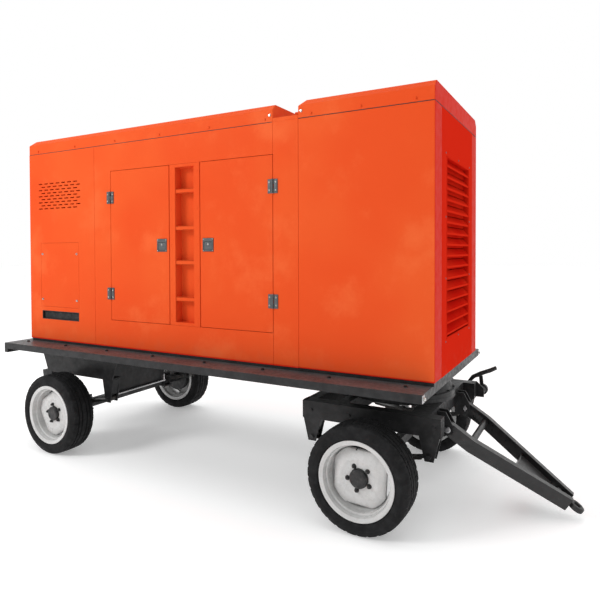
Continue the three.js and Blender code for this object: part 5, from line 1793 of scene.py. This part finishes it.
def engine():
    """A six-cylinder diesel: block, sump, heads, mounts, pulleys, filters and bolts."""
    front, rear, half = -1200 + FRONT, -2180 + FRONT, 230
    bottom, top = 1173, 1743
    head_top = 1853
    made = Shape()
    made.prism(
        [
            (-half, bottom + 120), (-half + 40, bottom), (half - 40, bottom), (half, bottom + 120),
            (half, top - 30), (half - 20, top), (-half + 20, top), (-half, top - 30),
        ],
        "X",
        rear,
        front,
        6,
        2,
    )
    made.prism(
        [
            (-150, bottom + 6), (-128, bottom - 128), (-110, bottom - 139), (110, bottom - 139),
            (128, bottom - 128), (150, bottom + 6),
        ],
        "X",
        rear + 120,
        front - 130,
        8,
        3,
    )
    cylinders = 6
    pitch = (front - rear - 150) / cylinders
    for k in range(cylinders):
        x = rear + 75 + pitch * (k + 0.5)
        made.box((x - pitch * 0.45, x + pitch * 0.45), (-130, 130), (top - 6, head_top - 42), 6, 2)
        made.box((x - pitch * 0.36, x + pitch * 0.36), (-92, 92), (head_top - 46, head_top - 1), 14, 4)
        for side in (RIGHT, LEFT):
            made.lathe(
                [(0, 0), (26, 0), (26, 8), (20, 12), (0, 12)],
                stand((x, side * (half - 1), bottom + 330), (0, side, 0)),
                28,
                closed=False,
            )
            made.rod((x, side * (half + 2), top - 70), (x, side * 120, top + 40), 19, 20, 3)
            made.box((x - 2.5, x + 2.5), (side * (half - 4), side * (half + 6)), (bottom + 150, top - 120), 1)
    for x in (front - 220, rear + 40):
        made.box((x, x + 100), (-372, 372), (844, 862), 3, 2)
        for side in (RIGHT, LEFT):
            made.box((x + 6, x + 94), (side * 300, side * 368), (860, 893), 4, 2)
            made.box((x + 40, x + 56), (side * 228, side * 340), (880, 1290), 3, 2)
    made.lathe(
        [(0, 0), (190, 0), (205, 14), (215, 60), (215, 96), (0, 96)],
        along(rear + 95, 0, CRANK_Z) @ BACKWARDS,
        56,
        closed=False,
    )
    piece(made, "engine_block", "chassis", "engine_paint", ["engine"])
    trim = Shape()
    trim.lathe(
        [(0, 0), (96, 0), (98, 4), (90, 10), (98, 16), (98, 24), (92, 30), (40, 32), (36, 60), (0, 60)],
        along(front, 0, CRANK_Z),
        64,
        closed=False,
    )
    trim.rod((front + 50, 0, CRANK_Z), (span("fan")[0].x - 4, 0, CRANK_Z), 30, 32, 2)
    trim.lathe(
        [(0, 0), (62, 0), (64, 3), (56, 10), (64, 17), (64, 22), (0, 24)],
        along(front + 4, 150, CRANK_Z + 210), 48, closed=False,
    )
    trim.lathe(
        [(0, 0), (46, 0), (48, 3), (42, 9), (48, 15), (0, 18)], along(front + 6, -160, CRANK_Z + 120),
        40, closed=False,
    )
    belt = [(0, CRANK_Z, 93), (150, CRANK_Z + 210, 59), (-160, CRANK_Z + 120, 44)]
    for (ya, za, ra), (yb, zb, rb) in zip(belt, belt[1:] + belt[:1]):
        across_line = Vector((yb - ya, zb - za)).normalized()
        normal = Vector((across_line.y, -across_line.x))
        trim.rod(
            (front + 14, ya + normal.x * ra, za + normal.y * ra),
            (front + 14, yb + normal.x * rb, zb + normal.y * rb),
            5,
            8,
            1,
        )
    for side in (RIGHT, LEFT):
        x = rear + 250
        trim.lathe(
            [(0, 0), (48, 0), (50, 4), (50, 150), (44, 164), (0, 166)],
            Matrix.Translation((x + 330, side * 268, bottom + 250)) @ BACKWARDS,
            40,
            closed=False,
        )
        trim.box((x + 282, x + 378), (side * 226, side * 312), (bottom + 250, bottom + 284), 6, 2)
        trim.box((x + 500, x + 760), (side * 228, side * 300), (bottom + 150, bottom + 290), 10, 3)
        pipe = [(rear + 90 + 30 * k, side * (half + 30), top - 150 + 4 * math.sin(k)) for k in range(28)]
        trim.tube(pipe, 6, 10)
    piece(trim, "engine_trim", "chassis", "radiator_black")
    fixings = Shape()
    for k in range(cylinders):
        x = rear + 75 + pitch * (k + 0.5)
        for y in (-70, 70):
            for dx in (-pitch * 0.27, pitch * 0.27):
                fixings.stamp(bolt(13, 5), Matrix.Translation((x + dx, y * 0.85, head_top - 2)))
    for x in range(int(rear) + 140, int(front) - 140, 70):
        for side in (RIGHT, LEFT):
            fixings.stamp(bolt(13, 5), stand((x, side * 140, bottom - 6), (0, side, 0)))
    piece(fixings, "engine_bolts", "chassis", "bolt_zinc")


def alternator():
    """The alternator with its fins, feet, terminal box and grille."""
    z = CRANK_Z
    x0 = span("alternator")[0].x
    foot = x0 + 30
    made = Shape()
    made.lathe(
        [
            (0, 0), (150, 0), (170, 4), (236, 26), (252, 40), (258, 60), (258, 610), (250, 640),
            (256, 660), (256, 744), (0, 744),
        ],
        along(x0 + 2, 0, z),
        80,
        closed=False,
    )
    for k in range(44):
        a = 2 * math.pi * k / 44
        fin = Matrix.Translation((0, 0, z)) @ Matrix.Rotation(a, 4, "X")
        made.box((x0 + 110, x0 + 560), (-2.5, 2.5), (255, 259.5), 0.8, 1, turn=fin)
    for k in range(28):
        a = 2 * math.pi * k / 28
        slot = Matrix.Translation((0, 0, z)) @ Matrix.Rotation(a, 4, "X")
        made.box((x0 + 664, x0 + 738), (-9, 9), (255, 259.5), 2, 2, turn=slot)
    made.box((foot, foot + 120), (-362, 362), (844, 866), 3, 2)
    for side in (RIGHT, LEFT):
        made.box((foot + 10, foot + 110), (side * 190, side * 350), (862, 900), 4, 2)
        made.prism(
            [
                (side * 150, 1180), (side * 250, 1300), (side * 330, 900), (side * 230, 900),
            ][:: 1 if side > 0 else -1],
            "X", foot + 30, foot + 90, 3, 2,
        )
    made.box((foot + 40, foot + 460), (-190, 190), (z + 180, z + 408), 10, 3)
    made.box((foot + 34, foot + 466), (-196, 196), (z + 408, z + 419), 3, 2)
    piece(made, "alternator_body", "chassis", "alternator_paint", ["alternator"])
    screws = Shape()
    for x in (foot + 60, foot + 250, foot + 440):
        for y in (-180, 180):
            screws.stamp(HEX_8, Matrix.Translation((x, y, z + 418)))
    for k in range(10):
        a = 2 * math.pi * k / 10
        screws.stamp(bolt(13, 5), along(x0 + 30, 215 * math.sin(a), z + 215 * math.cos(a)) @ BACKWARDS)
    piece(screws, "alternator_screws", "chassis", "bolt_zinc")
    grille = Shape()
    for k in range(7):
        r = 40 + 15 * k
        ring = [(r + 2.5, 0), (r + 5, 0), (r + 5, 3), (r + 2.5, 3)]
        grille.lathe(ring, along(x0 - 2, 0, z), 56)
    for k in range(8):
        a = 2 * math.pi * k / 8
        grille.rod(
            (x0 - 1, 30 * math.sin(a), z + 30 * math.cos(a)),
            (x0 - 1, 140 * math.sin(a), z + 140 * math.cos(a)), 2.2, 8, 0.5,
        )
    piece(grille, "alternator_grille", "chassis", "radiator_black")


def radiator():
    """The radiator frame, its core and the fan guard."""
    low, high = span("radiator")
    made = from_cad("radiator")
    made.soften(3, 2, flatten=True)
    for side in (RIGHT, LEFT):
        for z in (low.z + 60, (low.z + high.z) / 2, high.z - 60):
            made.stamp(HEX_12, stand((low.x + 50, side * high.y, z), (0, side, 0)))
    made.lathe(
        [(0, 0), (34, 0), (36, 3), (36, 8), (30, 12), (0, 12)],
        Matrix.Translation((low.x + 50, 0, high.z)), 40, closed=False,
    )
    piece(made, "radiator_frame", "chassis", "radiator_black", ["radiator"])
    core = Shape()
    for face, turn in ((low.x + 18, -1), (high.x - 18, 1)):
        rows = 46
        z0, z1 = low.z + 94, high.z - 94
        for k in range(rows):
            z = z0 + (z1 - z0) * (k + 0.5) / rows
            core.box(
                sorted((face - turn * 1, face + turn * 9)), (-high.y + 53, high.y - 53),
                (z - 3.2, z + 3.2), 0.8,
            )
        for k in range(13):
            y = (-high.y + 80) + (2 * high.y - 160) * k / 12
            core.box(sorted((face - turn * 1, face + turn * 6)), (y - 2, y + 2), (z0, z1), 0.5)
    piece(core, "radiator_core", "chassis", "core_fins")
    guard = Shape()
    z = CRANK_Z
    for r in (110, 175, 240, 305, 345):
        circle = [
            (low.x - 12, r * math.cos(2 * math.pi * k / 72), z + r * math.sin(2 * math.pi * k / 72))
            for k in range(73)
        ]
        guard.tube(circle, 2.6, 8)
    for k in range(12):
        a = 2 * math.pi * k / 12
        guard.rod(
            (low.x - 12, 60 * math.cos(a), z + 60 * math.sin(a)),
            (low.x - 4, 352 * math.cos(a), z + 352 * math.sin(a)),
            2.6,
            8,
            0.5,
        )
    piece(guard, "fan_guard", "chassis", "bare_steel")


def fan():
    """A seven-bladed fan with a bolted hub."""
    x, z = middle_of("fan").x, CRANK_Z
    hub = Shape()
    hub.lathe(
        [(0, -26), (62, -29), (69, -24), (70, 20), (62, 27), (30, 29), (0, 29)], along(x, 0, z), 56,
        closed=False,
    )
    for k in range(6):
        a = 2 * math.pi * k / 6
        hub.stamp(bolt(13, 4), along(x + 27, 44 * math.sin(a), z + 44 * math.cos(a)))
    blades = 7
    for i in range(blades):
        root = Matrix.Translation((x, 0, z)) @ Matrix.Rotation(2 * math.pi * i / blades, 4, "X")
        outline, rows = 9, 12
        bm = bmesh.new()
        sheets = []
        for skin in (-1, 1):
            grid = []
            for r in range(rows):
                share = r / (rows - 1)
                radius = 60 + (326 - 60) * share
                chord = 78 + 34 * math.sin(math.pi * min(1, share * 0.9)) - 22 * share**4
                pitch = math.radians(52 - 26 * share)
                row = []
                for c in range(outline):
                    u = (c / (outline - 1) - 0.5) * chord
                    camber = 9 * (1 - (2 * c / (outline - 1) - 1) ** 2)
                    thick = skin * 2.4 * math.sqrt(max(0.05, 1 - (2 * c / (outline - 1) - 1) ** 2))
                    local = Vector(
                        (
                            math.sin(pitch) * (-camber - thick) + math.cos(pitch) * u * 0.62 - 4,
                            u * math.sin(pitch) + 8 * share, radius,
                        )
                    )
                    local.x = max(-29, min(29, local.x))
                    row.append(bm.verts.new(root @ local))
                grid.append(row)
            sheets.append(grid)
        under, over = sheets
        for r in range(rows - 1):
            for c in range(outline - 1):
                bm.faces.new((over[r][c], over[r][c + 1], over[r + 1][c + 1], over[r + 1][c]))
                bm.faces.new((under[r][c], under[r + 1][c], under[r + 1][c + 1], under[r][c + 1]))
            for c in (0, outline - 1):
                bm.faces.new((over[r][c], over[r + 1][c], under[r + 1][c], under[r][c]))
        for r in (0, rows - 1):
            for c in range(outline - 1):
                bm.faces.new((over[r][c], under[r][c], under[r][c + 1], over[r][c + 1]))
        bmesh.ops.recalc_face_normals(bm, faces=bm.faces)
        hub.merge(bm, Matrix.Identity(4))
    piece(hub, "fan_rotor", "cooling_fan", "fan_plastic", ["fan"])


def muffler():
    """The silencer with its pipes, bands and hangers."""
    low, high = span("muffler")
    z = (low.z + high.z) / 2
    x0, x1 = -760 + FRONT, -180 + FRONT
    made = Shape()
    made.lathe(
        [
            (0, 0), (110, 0), (122, 4), (129, 12), (130, 20), (127.5, 26), (127.5, 552), (130, 558),
            (129, 568), (122, 576), (110, 580), (0, 580),
        ],
        along(x0, 0, z),
        64,
        closed=False,
    )
    for a, b in ((low.x, x0 + 6), (x1 - 6, high.x)):
        made.lathe(
            [(40, 0), (44.5, 0), (45, 1), (45, b - a), (40, b - a)],
            along(a, 0, z),
            40,
        )
        made.lathe(
            [(44, 0), (58, 0), (60, 2), (60, 10), (58, 12), (44, 12)], along((a + b) / 2 - 6, 0, z), 40,
        )
    for x in (x0 + 130, x0 + 430):
        made.lathe([(126, 0), (131, 0), (132, 1.5), (132, 30), (131, 32), (126, 32)], along(x, 0, z), 64)
        for side in (RIGHT, LEFT):
            made.box((x + 2, x + 30), (side * 124, side * 152), (z - 14, z + 14), 2, 2)
    piece(made, "muffler_drum", "chassis", "muffler_steel", ["muffler"])
    straps = Shape()
    for x in (x0 + 130, x0 + 430):
        for side in (RIGHT, LEFT):
            straps.box((x + 6, x + 26), (side * 138, side * 143), (z, WALL_TOP - 3), 1, 1)
            straps.stamp(HEX_12, stand((x + 16, side * 143, z + 8), (0, side, 0)))
    piece(straps, "muffler_hangers", "chassis", "hardware_grey")


def battery():
    """Two batteries with posts and a link."""
    low, high = span("battery")
    made = Shape()
    top = high.z - 18
    wide = (low.y, high.y)
    middle = (low.x + high.x) / 2
    for x0, x1 in ((low.x, middle - 2), (middle + 2, high.x)):
        made.box((x0, x1), wide, (low.z, top - 30), 5, 3)
        made.box((x0 + 3, x1 - 3), (wide[0] + 3, wide[1] - 3), (top - 32, top), 5, 3)
        for k in range(6):
            x = x0 + (x1 - x0) * (k + 0.5) / 6
            made.rod((x, (low.y + high.y) / 2, top - 1), (x, (low.y + high.y) / 2, top + 5), 11, 24, 1.5)
        for k in range(9):
            x = x0 + (x1 - x0) * (k + 0.5) / 9
            made.box((x - 3, x + 3), (wide[0] - 0.4, wide[1] + 0.4), (low.z + 20, top - 46), 1, 1)
    piece(made, "battery_cases", "chassis", "battery_case", ["battery"])
    metal = Shape()
    for x in (low.x + 60, high.x - 60, middle - 40, middle + 40):
        y = low.y + 34
        metal.lathe(
            [(0, 0), (10, 0), (9, 15), (8, 17), (0, 17)], Matrix.Translation((x, y, top)), 24,
            closed=False,
        )
    for x in (low.x + 130, high.x - 130):
        metal.box((x - 10, x + 10), (wide[0] - 2, wide[1] + 2), (top + 1, top + 4), 1, 1)
    piece(metal, "battery_posts", "chassis", "bolt_zinc")
    lead = Shape()
    y = low.y + 34
    lead.tube(
        [(middle - 40 + 80 * k / 16, y, top + 10 + 6 * math.sin(math.pi * k / 16)) for k in range(17)],
        6, 12,
    )
    piece(lead, "battery_link", "chassis", "stop_red")


def air_filter():
    """The air cleaner with its outlet and bands."""
    low, high = span("air_filter")
    y, z = -150, high.z - 110
    x0 = low.x
    made = Shape()
    made.lathe(
        [
            (0, 0), (92, 0), (104, 6), (109, 16), (109, 60), (106, 64), (106, 74), (109, 78),
            (109, 430), (100, 446), (0, 450),
        ],
        along(x0, y, z),
        64,
        closed=False,
    )
    made.lathe(
        [(0, 0), (50, 0), (50, 100), (54, 104), (54, 114), (50, 118), (42, 118), (42, 60), (0, 60)],
        along(x0 + 446, y, z), 40, closed=False,
    )
    made.box((x0 + 152, x0 + 228), (y - 38, y + 38), (1854, z - 90), 6, 2)
    piece(made, "air_cleaner", "chassis", "radiator_black", ["air_filter"])
    bands = Shape()
    for x in (x0 + 160, x0 + 200, x0 + 69):
        bands.lathe([(107, 0), (110, 0), (110, 14), (107, 14)], along(x, y, z), 64)
    piece(bands, "air_cleaner_bands", "chassis", "bare_steel")


def control_panel():
    """The fascia with dials, buttons, breakers and a screen."""
    low, high = span("control_panel")
    made = from_cad("control_panel")
    made.soften(3, 2, flatten=True)
    piece(made, "control_fascia", "chassis", "panel_grey", ["control_panel"])
    dials = Shape()
    faces = Shape()
    x = low.x
    for k, y in enumerate((-150, -50, 50, 150)):
        z = high.z - 260
        dials.lathe([(30, 0), (36, 0), (36, 5), (32, 7), (30, 4)], along(x + 1, y, z) @ BACKWARDS, 40)
        faces.lathe([(0, 0), (31, 0), (31, 2), (0, 2)], along(x + 1, y, z) @ BACKWARDS, 40, closed=False)
        lean = math.radians(-40 + 25 * k)
        dials.rod((x - 3, y, z - 6), (x - 3, y + 22 * math.sin(lean), z + 22 * math.cos(lean)), 1.2, 6, 0.2)
    for y in (-160, -110, -60):
        dials.rod((x + 1, y, low.z + 90), (x - 4, y, low.z + 90), 13, 28, 1.5)
        faces.rod((x - 3, y, low.z + 90), (x - 6.5, y, low.z + 90), 9, 24, 2)
    dials.box((x - 4, x + 1), (20, 170), (low.z + 40, low.z + 150), 3, 2)
    for k in range(4):
        dials.box((x - 6, x - 3), (34 + 34 * k, 56 + 34 * k), (low.z + 70, low.z + 120), 2, 2)
    piece(dials, "control_dials", "chassis", "radiator_black")
    piece(faces, "control_faces", "chassis", "panel_grey")
    screen = Shape()
    screen.box((x + 2, x + 5.5), (-86, 86), (high.z - 176, high.z - 64), 1.5, 2)
    piece(screen, "control_screen", "chassis", "window_glass")


engine()
alternator()
radiator()
fan()
muffler()
battery()
air_filter()
control_panel()
